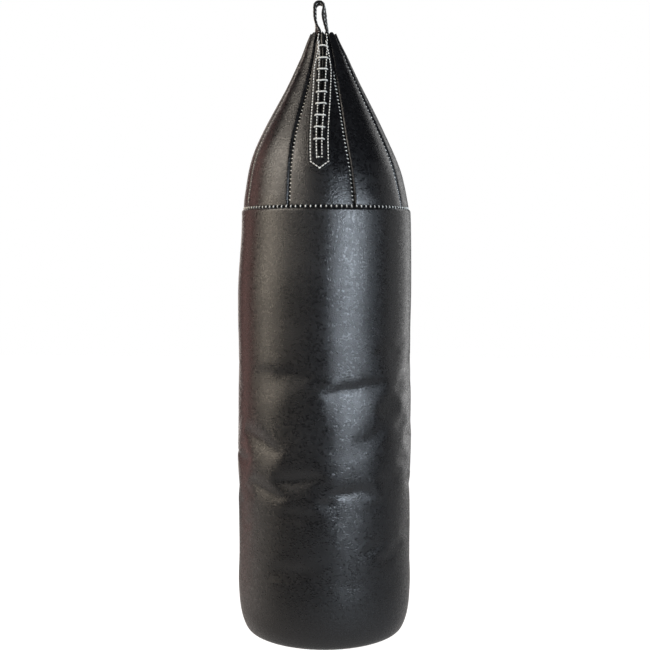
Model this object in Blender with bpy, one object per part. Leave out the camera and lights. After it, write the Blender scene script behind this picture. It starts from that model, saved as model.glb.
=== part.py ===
"""Hanging punching bag with a laced cone top and a leather hanging loop.

Metres, +Z up.  The origin is the spot inside the loop's arch where a hook carries the bag.
The laced front faces -Y.  Angles run from the front towards +X.
"""

import math

import bmesh
import bpy
from mathutils import Matrix, Vector

# Fits.
GAP = 0.0003                # clearance between pieces that touch
LEATHER = 0.0022            # petals, body panel and base
FOLD_RADIUS = 0.0032        # outside of a folded leather edge
SEAM_ALLOWANCE = 0.008      # width of leather turned in at a seam

# Body.
BODY_RADIUS = 0.1345
BODY_HEIGHT = 0.671         # shoulder seam down to the underside of the base
CORNER_REACH = 0.0145       # how far the body draws in towards its lower seam
CORNER_RISE = 0.045         # height over which it draws in
BODY_LIP = 0.005            # rounding of the body's upper edge
BACK_JOINT = 0.0006         # slit left between the panel's two edges
TAPE_WIDTH = 0.024
TAPE_THICKNESS = 0.0015
LINING_THICKNESS = 0.0010
WELT_THICKNESS = 0.0014
WELT_LIP = 0.0010           # welt that shows below the body's fold
BASE_STEP = 0.0035          # how far the base disc stands below the body's fold

# Cone.
PETALS = 8
CONE_HEIGHT = 0.278         # shoulder seam up to the ends of the petals
SHOULDER_STEP = 0.0045      # how far the body stands proud of the cone
NECK_RADIUS = 0.0205
LOWER_HANDLE = (0.080, 0.382)   # shares of the cone's narrowing and height: full lower half
UPPER_HANDLE = (0.368, 0.417)   # shares of the cone's narrowing and height: hollow neck
SIDE_SEAM_START = 0.012     # above the shoulder seam, where the side seams' allowances start
SIDE_SEAM_RADIUS = 0.044    # of the cone, where the side seams' allowances stop

# Strap.
LOOP_RISE = 0.047           # petal ends up to the inside of the arch
LOOP_SPREAD = 0.0145        # between the middles of the two legs
STRAP_WIDTH = 0.026
PLY_THICKNESS = 0.0016
ARCH_DROP = 0.026           # inside of the arch down to the twist plane
SWING_DROP = 0.0447         # inside of the arch down to the swing axis
RETURN_LAP = 0.002          # length sewn flat against the strap above the ring
RETURN_ANGLE = math.radians(40)  # where the strap leaves the ring's wire again
RING_WIRE = 0.006
RING_CORNER = 0.005         # middle line of the ring's bends

# Lacing.
LACE_DIAMETER = 0.0025
LACE_BARS = 9
LACE_PITCH = 0.0188
LACE_REACH = 0.0088         # middle of the slit to a hole's middle
HOLE_DIAMETER = 0.0034
FIRST_BAR_DROP = 0.0264     # petal ends down to the first bar
SLIT_LENGTH = 0.201
SLIT_TOP_WIDTH = 0.0060
SLIT_END_WIDTH = 0.0020
PLACKET_THICKNESS = 0.0014
PLACKET_WIDTH = 0.035
PLACKET_MARGIN = 0.0015     # petal leather left beside the placket
PLACKET_BELOW_SLIT = 0.011  # slit's end down to where the placket starts to taper
PLACKET_POINT = 0.012
PLACKET_TIP_WIDTH = 0.0016
PLACKET_DROP = 0.002        # petal ends down to the placket's upper end
TONGUE_THICKNESS = 0.0012
TONGUE_DROP = 0.001
TONGUE_OVERLAP = 0.010      # tongue below the slit's end

# Fineness of the round shapes.
PETAL_COLUMNS = 5
CONE_ROWS = 16
BEND_STEPS = 3
CORNER_STEPS = 6
ARCH_STEPS = 14
WRAP_STEPS = 12
STRIP_ROWS = 16
FILLING_ROWS = 8
STRIP_COLUMNS = 4

# What follows from the sizes above.
SHOULDER_RADIUS = BODY_RADIUS - SHOULDER_STEP
PETAL_TOP = -LOOP_RISE
SHOULDER = PETAL_TOP - CONE_HEIGHT
BASE = SHOULDER - BODY_HEIGHT
CONE_FOOT = SHOULDER + GAP / 2 + FOLD_RADIUS
COLUMNS = PETALS * PETAL_COLUMNS
PETAL_ANGLE = 2 * math.pi / PETALS
SIDE_GAP = GAP + 2 * LEATHER * math.sin(PETAL_ANGLE / PETAL_COLUMNS / 2)   # flat facets lean together
STRAP_THICKNESS = 2 * PLY_THICKNESS + GAP
LEG_MIDDLE = LOOP_SPREAD / 2
WRAP_RADIUS = RING_WIRE / 2 + GAP + STRAP_THICKNESS / 2
RING_MIDDLE = LEG_MIDDLE + WRAP_RADIUS
WALL_INSIDE = BODY_RADIUS - LEATHER
FACET_SAG = BODY_RADIUS * (1 - math.cos(math.pi / COLUMNS))   # middle of a flat facet, in from the circle
TAPE_OUTSIDE = WALL_INSIDE - GAP - FACET_SAG
FILLING_NECK = SHOULDER_RADIUS - SEAM_ALLOWANCE - GAP - FACET_SAG   # through the shoulder seam's leather
BASE_RADIUS = BODY_RADIUS - CORNER_REACH - FOLD_RADIUS - WELT_THICKNESS - 2 * GAP
BODY_FOOT = BASE + BASE_STEP
SLIT_END = PETAL_TOP - SLIT_LENGTH
PLACKET_TIP = SLIT_END - PLACKET_BELOW_SLIT - PLACKET_POINT
BASE_FOLD_TOP = BODY_FOOT + FOLD_RADIUS + SEAM_ALLOWANCE

BLACK_LEATHER = ("black_leather", (0.020, 0.021, 0.023), 0.42, 0.0)
EDGE_LEATHER = ("strap_leather", (0.014, 0.013, 0.013), 0.50, 0.0)
WHITE_CORD = ("white_cord", (0.80, 0.80, 0.78), 0.75, 0.0)
CANVAS = ("canvas", (0.50, 0.45, 0.36), 0.90, 0.0)
RAGS = ("packed_rags", (0.35, 0.33, 0.31), 0.95, 0.0)
FELT = ("felt", (0.25, 0.25, 0.25), 0.95, 0.0)
STEEL = ("welded_steel", (0.56, 0.57, 0.58), 0.35, 1.0)


# Scene and materials.

def clear_scene():
    """Remove whatever the scene held."""
    for thing in list(bpy.data.objects):
        bpy.data.objects.remove(thing, do_unlink=True)


def material(look):
    """The material of a name, colour, roughness and metallic value, made once."""
    name, colour, roughness, metallic = look
    found = bpy.data.materials.get(name)
    if found:
        return found
    made = bpy.data.materials.new(name)
    made.use_nodes = True
    shader = made.node_tree.nodes["Principled BSDF"]
    shader.inputs["Base Color"].default_value = (*colour, 1.0)
    shader.inputs["Roughness"].default_value = roughness
    shader.inputs["Metallic"].default_value = metallic
    return made


def add_mesh(name, bm, look):
    """Turn a bmesh into a named object with its material, shaded smooth on its curves."""
    mesh = bpy.data.meshes.new(name)
    bm.to_mesh(mesh)
    bm.free()
    mesh.materials.append(material(look))
    mesh.shade_smooth()
    mesh.set_sharp_from_angle(angle=math.radians(40))
    thing = bpy.data.objects.new(name, mesh)
    bpy.context.scene.collection.objects.link(thing)
    return thing


def add_body(name, level, things):
    """Gather the pieces of one moving body under an empty on its joint's axis."""
    body = bpy.data.objects.new(name, None)
    body.location = (0.0, 0.0, level)
    bpy.context.scene.collection.objects.link(body)
    for thing in things:
        thing.parent = body
        thing.matrix_parent_inverse = Matrix.Translation((0.0, 0.0, -level))


# Outlines, as (radius or x, z) points.

def arc(centre, radius, start, end, steps):
    """Points along a circular arc, both ends included; angles in radians."""
    points = []
    for step in range(steps + 1):
        angle = start + (end - start) * step / steps
        points.append((centre[0] + radius * math.cos(angle), centre[1] + radius * math.sin(angle)))
    return points


def shifted(path, distance):
    """The path moved to its left by a distance, with mitred bends."""
    moved = []
    for index, (across, up) in enumerate(path):
        before = path[max(index - 1, 0)]
        after = path[min(index + 1, len(path) - 1)]
        here = Vector((across, up))
        sides = [(here - Vector(before)), (Vector(after) - here)]
        normals = [Vector((-side.y, side.x)).normalized() for side in sides if side.length > 0]
        bisector = sum(normals, Vector((0.0, 0.0))).normalized()
        reach = distance / bisector.dot(normals[0])
        moved.append((across + bisector.x * reach, up + bisector.y * reach))
    return moved


def band(path, left, right):
    """Closed outline of a strip whose sides lie at two distances left of a path."""
    return shifted(path, left) + shifted(path, right)[::-1]


def cone_point(share):
    """Radius and height of the cone's outside at a share of its curve, from foot to neck."""
    narrowing = SHOULDER_RADIUS - NECK_RADIUS
    height = PETAL_TOP - CONE_FOOT
    handles = [(0.0, 0.0), LOWER_HANDLE, UPPER_HANDLE, (1.0, 1.0)]
    weights = [(1 - share) ** 3, 3 * share * (1 - share) ** 2, 3 * share ** 2 * (1 - share), share ** 3]
    drawn_in = sum(weight * handle[0] for weight, handle in zip(weights, handles))
    risen = sum(weight * handle[1] for weight, handle in zip(weights, handles))
    return SHOULDER_RADIUS - narrowing * drawn_in, CONE_FOOT + height * risen


def cone_share(value, which):
    """Share of the cone's curve where its radius (which=0) or height (which=1) has a value."""
    low, high = 0.0, 1.0
    rising = which == 1
    for _ in range(40):
        middle = (low + high) / 2
        if (cone_point(middle)[which] < value) == rising:
            low = middle
        else:
            high = middle
    return (low + high) / 2


def cone_radius(level):
    """Outside radius of the cone at a height."""
    return cone_point(cone_share(level, 1))[0]


def cone_level(radius):
    """Height at which the cone has an outside radius."""
    return cone_point(cone_share(radius, 0))[1]


def cone_normal(level):
    """Outward direction of the cone's outline at a height, as (radial, upward)."""
    share = cone_share(level, 1)
    low = cone_point(max(share - 0.01, 0.0))
    high = cone_point(min(share + 0.01, 1.0))
    return Vector((high[1] - low[1], low[0] - high[0])).normalized()


def polar(radius, angle, level):
    """A point at a radius and an angle from the front."""
    return Vector((radius * math.sin(angle), -radius * math.cos(angle), level))


def on_cone(across, level, lift):
    """A point on the front of the cone, lifted off its outside along the normal."""
    radius = cone_radius(level)
    normal = cone_normal(level)
    return polar(radius + lift * normal.x, across / radius, level + lift * normal.y)


# Solids.

def turned(name, outline, look, relief=None):
    """Solid turned about the Z axis; an outline that starts and ends on the axis, or a closed one."""
    bm = bmesh.new()
    corners = [bm.verts.new((0.0, radius, level)) for radius, level in outline]
    closed = min(radius for radius, _ in outline) > 0
    ends = zip(corners, corners[1:] + corners[:1]) if closed else zip(corners, corners[1:])
    lines = [bm.edges.new(pair) for pair in ends]
    bmesh.ops.spin(bm, geom=corners + lines, cent=(0, 0, 0), axis=(0, 0, 1), angle=2 * math.pi,
                   steps=COLUMNS, use_merge=True)
    bmesh.ops.remove_doubles(bm, verts=bm.verts, dist=0.00001)
    if relief:
        for corner in bm.verts:
            relief(corner)
    bmesh.ops.recalc_face_normals(bm, faces=bm.faces)
    return add_mesh(name, bm, look)


def back_relief(corner):
    """Draw a corner in where the seam tape lies between the lining and the body panel."""
    radius = math.hypot(corner.co.x, corner.co.y)
    if radius < BASE_RADIUS:
        return
    reach = TAPE_WIDTH / 2 / TAPE_OUTSIDE + 2 * math.pi / COLUMNS
    if abs(math.atan2(corner.co.x, corner.co.y)) < reach:
        shrink = (radius - FACET_SAG - TAPE_THICKNESS - GAP) / radius
        corner.co.x *= shrink
        corner.co.y *= shrink


def wrapped(path, start, sweep, steps):
    """Open sheet that follows a path upwards and is swept about the Z axis, facing out."""
    bm = bmesh.new()
    corners = [bm.verts.new(polar(radius, start, level)) for radius, level in path]
    lines = [bm.edges.new(pair) for pair in zip(corners, corners[1:])]
    bmesh.ops.spin(bm, geom=corners + lines, cent=(0, 0, 0), axis=(0, 0, 1), angle=sweep, steps=steps)
    return bm


def face_out(bm):
    """Make an open sheet's faces look away from the bag's inside, judged by its widest face."""
    bmesh.ops.recalc_face_normals(bm, faces=bm.faces)
    bm.faces.ensure_lookup_table()
    middle = max(bm.faces, key=lambda face: math.hypot(*face.calc_center_median().xy))
    if middle.normal.dot(Vector((*middle.calc_center_median().xy, 0.0))) < 0:
        bmesh.ops.reverse_faces(bm, faces=bm.faces)


def thicken(thing, thickness):
    """Give a sheet its thickness, all of it behind its outer face."""
    solid = thing.modifiers.new("thickness", "SOLIDIFY")
    solid.thickness = thickness
    solid.offset = -1.0
    solid.use_even_offset = True
    solid.use_quality_normals = True


def extruded(name, outline, width, look):
    """Solid of an (x, z) outline drawn out along Y, centred on the XZ plane."""
    bm = bmesh.new()
    corners = [bm.verts.new((across, -width / 2, up)) for across, up in outline]
    face = bm.faces.new(corners)
    grown = bmesh.ops.extrude_face_region(bm, geom=[face])
    far = [item for item in grown["geom"] if isinstance(item, bmesh.types.BMVert)]
    bmesh.ops.translate(bm, verts=far, vec=(0.0, width, 0.0))
    bmesh.ops.recalc_face_normals(bm, faces=bm.faces)
    return add_mesh(name, bm, look)


def tube(name, points, diameter, closed, look):
    """Round wire or cord along a list of points."""
    curve = bpy.data.curves.new(name, "CURVE")
    curve.dimensions = "3D"
    curve.bevel_depth = diameter / 2
    curve.bevel_resolution = 2
    curve.use_fill_caps = not closed
    spline = curve.splines.new("POLY")
    spline.points.add(len(points) - 1)
    for point, place in zip(spline.points, points):
        point.co = (*place, 1.0)
    spline.use_cyclic_u = closed
    spline.use_smooth = True
    curve.materials.append(material(look))
    thing = bpy.data.objects.new(name, curve)
    bpy.context.scene.collection.objects.link(thing)
    return thing


def front_strip(name, top, bottom, half_width, lift, thickness, look):
    """Leather strip that lies on the front of the cone; half_width is a function of height."""
    bm = bmesh.new()
    grid = bmesh.ops.create_grid(bm, x_segments=STRIP_COLUMNS, y_segments=STRIP_ROWS, size=1.0)
    for corner in grid["verts"]:
        level = (top + bottom) / 2 + corner.co.y * (top - bottom) / 2
        corner.co = on_cone(corner.co.x * half_width(level), level, lift)
    face_out(bm)
    strip = add_mesh(name, bm, look)
    thicken(strip, thickness)
    return strip


def cut(thing, cutter):
    """Take a cutter's volume out of a piece."""
    hole = thing.modifiers.new("cut", "BOOLEAN")
    hole.operation = "DIFFERENCE"
    hole.solver = "EXACT"
    hole.object = cutter


def as_cutter(thing):
    """Mark a solid as a cutting tool that is no piece of the bag."""
    thing.hide_render = True
    thing.display_type = "WIRE"
    return thing


# Strap.

def arch_path():
    """Middle line of the arch, from the lower end of its left side to that of its right side."""
    crown = (0.0, STRAP_THICKNESS / 2 - LEG_MIDDLE)
    bend = arc(crown, LEG_MIDDLE, math.pi, 0.0, ARCH_STEPS)
    return [(-LEG_MIDDLE, -ARCH_DROP)] + bend + [(LEG_MIDDLE, -ARCH_DROP)]


def make_arch():
    """Top of the hanging loop: two plies of strap leather sewn face to face."""
    outside = STRAP_THICKNESS / 2
    between = GAP / 2
    return [
        extruded("loop_outer_ply", band(arch_path(), outside, between), STRAP_WIDTH, EDGE_LEATHER),
        extruded("loop_inner_ply", band(arch_path(), -between, -outside), STRAP_WIDTH, EDGE_LEATHER),
    ]


def make_legs():
    """Flexing stretch of both legs, between the twist plane and the swing axis."""
    top = -ARCH_DROP - GAP
    pieces = []
    for side, name in ((-1, "left"), (1, "right")):
        path = [(side * LEG_MIDDLE, -SWING_DROP), (side * LEG_MIDDLE, top)]
        sheets = (("outer", STRAP_THICKNESS / 2, GAP / 2), ("inner", -GAP / 2, -STRAP_THICKNESS / 2))
        for ply, far, near in sheets:
            outline = band(path, -side * far, -side * near)
            pieces.append(extruded(f"{name}_leg_{ply}_ply", outline, STRAP_WIDTH, EDGE_LEATHER))
    return pieces


def ring_level():
    """Height at which the ring, with the strap round it, seats inside the cone."""
    strap_corner = math.hypot(RING_MIDDLE + WRAP_RADIUS + STRAP_THICKNESS / 2, STRAP_WIDTH / 2)
    bend_middle = math.hypot(RING_MIDDLE - RING_CORNER, STRAP_WIDTH / 2 + GAP)
    ring_corner = bend_middle + RING_CORNER + RING_WIRE / 2
    reach = max(strap_corner, ring_corner) + GAP
    level = cone_level(reach + LEATHER)
    return cone_level(reach + LEATHER / cone_normal(level).x) - RING_WIRE / 2


def wrap_path():
    """Middle line of the right strap end: down, round the ring's wire and back to the strap."""
    level = ring_level()
    centre = (RING_MIDDLE, level)
    turn = arc(centre, WRAP_RADIUS, math.pi, 2 * math.pi + RETURN_ANGLE, WRAP_STEPS)
    lap = LEG_MIDDLE + STRAP_THICKNESS + GAP
    rise = (turn[-1][0] - lap) / math.tan(RETURN_ANGLE)
    meet = turn[-1][1] + rise
    return [(LEG_MIDDLE, -SWING_DROP - GAP)] + turn + [(lap, meet), (lap, meet + RETURN_LAP)]


def make_strap_ends():
    """Both ends of the strap, wrapped round the ring and sewn back to themselves."""
    pieces = []
    half = STRAP_THICKNESS / 2
    for side, name in ((-1, "left"), (1, "right")):
        outline = [(side * across, up) for across, up in band(wrap_path(), half, -half)]
        pieces.append(extruded(f"{name}_strap_end", outline, STRAP_WIDTH, EDGE_LEATHER))
    return pieces


def make_ring():
    """Welded steel ring with straight sides for the strap, trapped inside the neck."""
    straight = STRAP_WIDTH / 2 + GAP
    centre = (RING_MIDDLE - RING_CORNER, straight)
    points = []
    for quarter in range(4):
        bend = arc((0.0, 0.0), RING_CORNER, quarter * math.pi / 2, (quarter + 1) * math.pi / 2, BEND_STEPS)
        across = centre[0] if quarter in (0, 3) else -centre[0]
        along = centre[1] if quarter in (0, 1) else -centre[1]
        points += [(across + x, along + y, ring_level()) for x, y in bend]
    return tube("neck_ring", points, RING_WIRE, True, STEEL)


# Cone.

def petal_path():
    """Outside of a petal from its turned-in foot to its upper end."""
    foot = SHOULDER + GAP / 2
    fold_middle = (SHOULDER_RADIUS - FOLD_RADIUS, foot + FOLD_RADIUS)
    fold = arc(fold_middle, FOLD_RADIUS, -math.pi / 2, 0.0, BEND_STEPS)
    rise = [cone_point(row / CONE_ROWS) for row in range(1, CONE_ROWS + 1)]
    return [(SHOULDER_RADIUS - SEAM_ALLOWANCE, foot)] + fold + rise


def turn_in_sides(bm, seam_normals):
    """Turn the petal's side edges in along both seams, clear of the foot and the neck."""
    low = SHOULDER + SIDE_SEAM_START
    high = cone_level(SIDE_SEAM_RADIUS)
    for normal in seam_normals:
        inward = Vector((normal.y, -normal.x, 0.0))
        edges = [edge for edge in bm.edges if edge.is_boundary
                 and all(abs(corner.co.dot(normal) + SIDE_GAP / 2) < 0.00001 for corner in edge.verts)
                 and all(low < corner.co.z < high for corner in edge.verts)]
        if inward.dot(edges[0].verts[0].co) > 0:
            inward = -inward
        grown = bmesh.ops.extrude_edge_only(bm, edges=edges)
        tips = [item for item in grown["geom"] if isinstance(item, bmesh.types.BMVert)]
        bmesh.ops.translate(bm, verts=tips, vec=inward * SEAM_ALLOWANCE)


def make_petal(name, middle):
    """One of the cone's gores, sewn to its neighbours along turned-in edges."""
    bm = wrapped(petal_path(), middle - PETAL_ANGLE / 2, PETAL_ANGLE, PETAL_COLUMNS)
    seam_normals = []
    for side in (-1, 1):
        seam = middle + side * PETAL_ANGLE / 2
        normal = Vector((math.cos(seam), math.sin(seam), 0.0)) * side
        seam_normals.append(normal)
        bmesh.ops.bisect_plane(bm, geom=bm.verts[:] + bm.edges[:] + bm.faces[:],
                               plane_co=-normal * SIDE_GAP / 2, plane_no=normal, clear_outer=True)
    turn_in_sides(bm, seam_normals)
    face_out(bm)
    petal = add_mesh(name, bm, BLACK_LEATHER)
    thicken(petal, LEATHER)
    return petal


def placket_half_width(level):
    """Half of the placket's width, which follows the petal at the neck and ends in a point."""
    full = min(PLACKET_WIDTH / 2, cone_radius(level) * PETAL_ANGLE / 2 - PLACKET_MARGIN)
    above_tip = max(level - PLACKET_TIP, 0.0)
    return min(full, PLACKET_TIP_WIDTH / 2 + full * above_tip / PLACKET_POINT)


def make_placket():
    """Leather facing on the front petal, which carries the lace holes."""
    return front_strip("lacing_placket", PETAL_TOP - PLACKET_DROP, PLACKET_TIP, placket_half_width,
                       GAP + PLACKET_THICKNESS, PLACKET_THICKNESS, BLACK_LEATHER)


def make_tongue():
    """Strip behind the slit, between the lace's runs."""
    half = LACE_REACH - LACE_DIAMETER / 2 - GAP
    return front_strip("lace_tongue", PETAL_TOP - TONGUE_DROP, SLIT_END - TONGUE_OVERLAP,
                       lambda level: half, -LEATHER - GAP - FACET_SAG, TONGUE_THICKNESS, BLACK_LEATHER)


def bar_level(bar):
    """Height of a bar of the lace, counted from the top."""
    return PETAL_TOP - FIRST_BAR_DROP - bar * LACE_PITCH


def slit_cutter():
    """Wedge that opens the front petal and the placket from the neck down."""
    outline = [(-SLIT_END_WIDTH / 2, SLIT_END), (SLIT_END_WIDTH / 2, SLIT_END),
               (SLIT_TOP_WIDTH / 2, PETAL_TOP + LEATHER), (-SLIT_TOP_WIDTH / 2, PETAL_TOP + LEATHER)]
    cutter = extruded("slit_cutter", outline, SHOULDER_RADIUS, BLACK_LEATHER)
    cutter.location.y = -SHOULDER_RADIUS / 2 - LEATHER
    return as_cutter(cutter)


def hole_cutter():
    """Punches for all lace holes."""
    depth = 4 * (PLACKET_THICKNESS + LEATHER)
    bm = bmesh.new()
    for bar in range(LACE_BARS):
        for side in (-1, 1):
            middle = on_cone(side * LACE_REACH, bar_level(bar), 0.0)
            outward = on_cone(side * LACE_REACH, bar_level(bar), LEATHER) - middle
            place = Matrix.Translation(middle) @ outward.to_track_quat("Z", "Y").to_matrix().to_4x4()
            bmesh.ops.create_cone(bm, cap_ends=True, segments=8, radius1=HOLE_DIAMETER / 2,
                                  radius2=HOLE_DIAMETER / 2, depth=depth, matrix=place)
    return as_cutter(add_mesh("hole_cutter", bm, BLACK_LEATHER))


def lace_points():
    """Route of the lace: a bar outside, a run up inside, and back with the next bar."""
    outside = 2 * GAP + PLACKET_THICKNESS + LACE_DIAMETER / 2
    inside = -LEATHER - GAP - FACET_SAG - LACE_DIAMETER / 2
    ease = LACE_DIAMETER / 3
    points = []
    side = -1
    for bar in reversed(range(LACE_BARS)):
        level = bar_level(bar)
        for end, ahead in ((side, -1), (-side, 1)):
            at = end * LACE_REACH
            corner = [on_cone(at, level + ahead * ease, inside), on_cone(at, level, inside + ease),
                      on_cone(at, level, outside - ease), on_cone(at - end * ease, level, outside)]
            points += corner if end == side else corner[::-1]
            if end == side:
                points.append(on_cone(0.0, level, outside))
        side = -side
    return points


def make_lacing():
    """Placket, tongue and lace, with the slit and holes they need."""
    placket = make_placket()
    front = make_petal("front_petal", 0.0)
    slit = slit_cutter()
    holes = hole_cutter()
    for piece in (placket, front):
        cut(piece, slit)
        cut(piece, holes)
    lace = tube("lace", lace_points(), LACE_DIAMETER, False, WHITE_CORD)
    return [front, placket, make_tongue(), lace]


# Body.

def body_corner():
    """Outside of the body where it draws in towards the base, from the bottom up."""
    turn = arc((0.0, 0.0), 1.0, -math.pi / 2, 0.0, CORNER_STEPS)
    return [(BODY_RADIUS + CORNER_REACH * (across - 1), BODY_FOOT + CORNER_RISE * (1 + up))
            for across, up in turn]


def body_path():
    """Outside of the body panel, from its turned-up lower edge to its turned-in upper edge."""
    inner = BASE_RADIUS + WELT_THICKNESS + 2 * GAP
    top = SHOULDER - GAP / 2
    fold_middle = (inner + FOLD_RADIUS, BODY_FOOT + FOLD_RADIUS)
    fold = arc(fold_middle, FOLD_RADIUS, math.pi, 1.5 * math.pi, BEND_STEPS)
    lip = arc((BODY_RADIUS - BODY_LIP, top - BODY_LIP), BODY_LIP, 0.0, math.pi / 2, BEND_STEPS)
    ends = [(inner, BASE_FOLD_TOP)], [(SHOULDER_RADIUS - SEAM_ALLOWANCE, top)]
    return ends[0] + fold + body_corner()[1:] + lip + ends[1]


def make_body_panel():
    """Single sheet round the body, with its edges butted together at the back."""
    slack = BACK_JOINT / BODY_RADIUS
    bm = wrapped(body_path(), math.pi + slack / 2, 2 * math.pi - slack, COLUMNS)
    face_out(bm)
    panel = add_mesh("body_panel", bm, BLACK_LEATHER)
    thicken(panel, LEATHER)
    return panel


def make_tape():
    """Strip sewn inside over the panel's butted edges."""
    half = TAPE_WIDTH / 2 / TAPE_OUTSIDE
    path = [(TAPE_OUTSIDE, BODY_FOOT + CORNER_RISE), (TAPE_OUTSIDE, SHOULDER - GAP - BODY_LIP)]
    bm = wrapped(path, math.pi - half, 2 * half, 2)
    face_out(bm)
    tape = add_mesh("back_seam_tape", bm, BLACK_LEATHER)
    thicken(tape, TAPE_THICKNESS)
    return tape


def sack_outline(inset, bottom):
    """Outside of what lies against the leather's inside, from a flat bottom up the wall."""
    top = SHOULDER - GAP / 2 - BODY_LIP - inset
    outside = body_corner() + [(BODY_RADIUS, top)]
    wall = shifted(outside, LEATHER + inset)
    above = [point for point in wall if point[1] > bottom]
    below = wall[len(wall) - len(above) - 1]
    share = (bottom - below[1]) / (above[0][1] - below[1])
    return [(below[0] + (above[0][0] - below[0]) * share, bottom)] + above


def make_lining():
    """Canvas cup between the leather and the filling."""
    bottom = BASE_FOLD_TOP + GAP
    outer = sack_outline(GAP, bottom)
    inner = sack_outline(GAP + LINING_THICKNESS, bottom + LINING_THICKNESS)
    outline = [(0.0, bottom)] + outer + [(inner[-1][0], outer[-1][1])] + inner[-2::-1]
    return turned("canvas_lining", outline + [(0.0, bottom + LINING_THICKNESS)], CANVAS, back_relief)


def make_body_filling():
    """Packed rags in the lining, with a step up through the shoulder seam's ring of leather."""
    inset = 2 * GAP + LINING_THICKNESS
    bottom = BASE_FOLD_TOP + inset
    wall = sack_outline(inset, bottom)
    outline = [(0.0, bottom)] + wall + [(FILLING_NECK, wall[-1][1]), (FILLING_NECK, SHOULDER - GAP / 2)]
    return turned("body_filling", outline + [(0.0, SHOULDER - GAP / 2)], RAGS, back_relief)


def make_neck_filling():
    """Packed rags in the cone, up to the strap round the ring."""
    inset = LEATHER + SEAM_ALLOWANCE + GAP
    top = ring_level() - WRAP_RADIUS - STRAP_THICKNESS / 2 - GAP
    start = cone_share(SHOULDER + SIDE_SEAM_START, 1)
    end = cone_share(top, 1)
    wall = []
    for row in range(FILLING_ROWS + 1):
        radius, level = cone_point(start + (end - start) * row / FILLING_ROWS)
        wall.append((radius - inset, level))
    outline = [(0.0, SHOULDER + GAP / 2), (FILLING_NECK, SHOULDER + GAP / 2)] + wall + [(0.0, top)]
    return turned("neck_filling", outline, RAGS)


def make_base():
    """Base disc with its turned-up rim, the welt round it and the felt pad inside it."""
    rim = arc((BASE_RADIUS - FOLD_RADIUS, BASE + FOLD_RADIUS), FOLD_RADIUS, -math.pi / 2, 0.0, BEND_STEPS)
    inner = arc((BASE_RADIUS - FOLD_RADIUS, BASE + FOLD_RADIUS), FOLD_RADIUS - LEATHER, 0.0,
                -math.pi / 2, BEND_STEPS)
    disc = [(0.0, BASE)] + rim + [(BASE_RADIUS, BASE_FOLD_TOP), (BASE_RADIUS - LEATHER, BASE_FOLD_TOP)]
    disc += inner + [(0.0, BASE + LEATHER)]
    near = BASE_RADIUS + GAP
    far = near + WELT_THICKNESS
    lip = BODY_FOOT - WELT_LIP
    welt = [(near, lip), (far, lip), (far, BASE_FOLD_TOP), (near, BASE_FOLD_TOP)]
    pad_radius = BASE_RADIUS - FOLD_RADIUS
    floor = BASE + LEATHER + GAP
    pad = [(0.0, floor), (pad_radius, floor), (pad_radius, BASE_FOLD_TOP), (0.0, BASE_FOLD_TOP)]
    return [
        turned("base_disc", disc, BLACK_LEATHER),
        turned("base_welt", welt, BLACK_LEATHER),
        turned("base_pad", pad, FELT),
    ]


def main():
    clear_scene()
    add_body("hanger", 0.0, make_arch())
    add_body("strap_legs", -ARCH_DROP, make_legs())
    bag = make_strap_ends() + [make_ring()] + make_lacing()
    for petal in range(1, PETALS):
        bag.append(make_petal(f"petal_{petal + 1}", petal * PETAL_ANGLE))
    bag += [make_body_panel(), make_tape(), make_lining(), make_body_filling(), make_neck_filling()]
    bag += make_base()
    add_body("bag", -SWING_DROP, bag)


main()
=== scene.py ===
"""Leather punching bag with a laced cone top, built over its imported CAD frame.

Metres, +Z up.  The origin is the spot inside the loop's arch where a hook carries the bag.
The laced front faces -Y, and angles run from the front towards +X.
"""

import functools
import math

import bmesh
import bpy
from bpy.props import FloatProperty, PointerProperty, StringProperty
from mathutils import Matrix, Vector, noise


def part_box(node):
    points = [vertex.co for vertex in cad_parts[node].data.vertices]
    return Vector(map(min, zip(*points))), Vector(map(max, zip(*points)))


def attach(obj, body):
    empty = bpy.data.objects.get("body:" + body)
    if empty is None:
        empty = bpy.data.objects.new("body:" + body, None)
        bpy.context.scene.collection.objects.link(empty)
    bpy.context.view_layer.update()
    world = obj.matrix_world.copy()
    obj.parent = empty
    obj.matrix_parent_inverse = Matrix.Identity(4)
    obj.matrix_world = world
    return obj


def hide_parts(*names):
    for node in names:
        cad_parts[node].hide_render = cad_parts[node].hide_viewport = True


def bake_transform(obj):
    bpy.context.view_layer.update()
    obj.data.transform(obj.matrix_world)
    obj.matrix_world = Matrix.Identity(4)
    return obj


bl_info = {
    "name": "Laced punching bag",
    "version": (1, 0, 0),
    "blender": (4, 5, 0),
    "location": "3D View > Sidebar > Bag",
    "description": "Builds a hanging leather punching bag piece by piece",
    "category": "Object",
}

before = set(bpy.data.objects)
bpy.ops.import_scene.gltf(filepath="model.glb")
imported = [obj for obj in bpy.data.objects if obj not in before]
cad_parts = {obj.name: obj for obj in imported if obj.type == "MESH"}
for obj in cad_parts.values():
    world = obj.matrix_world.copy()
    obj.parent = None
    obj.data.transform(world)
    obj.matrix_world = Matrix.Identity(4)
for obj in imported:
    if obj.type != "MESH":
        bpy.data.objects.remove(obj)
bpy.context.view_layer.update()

# Fits, as in the frame.
GAP = 0.0003                # clearance between pieces that touch
LEATHER = 0.0022            # petals, body panel and base
FOLD_RADIUS = 0.0032        # outside of a folded leather edge
SEAM_ALLOWANCE = 0.008      # width of leather turned in at a seam
FACET_SAG = 0.0005          # what lies behind the petals' leather keeps this much clear

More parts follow.
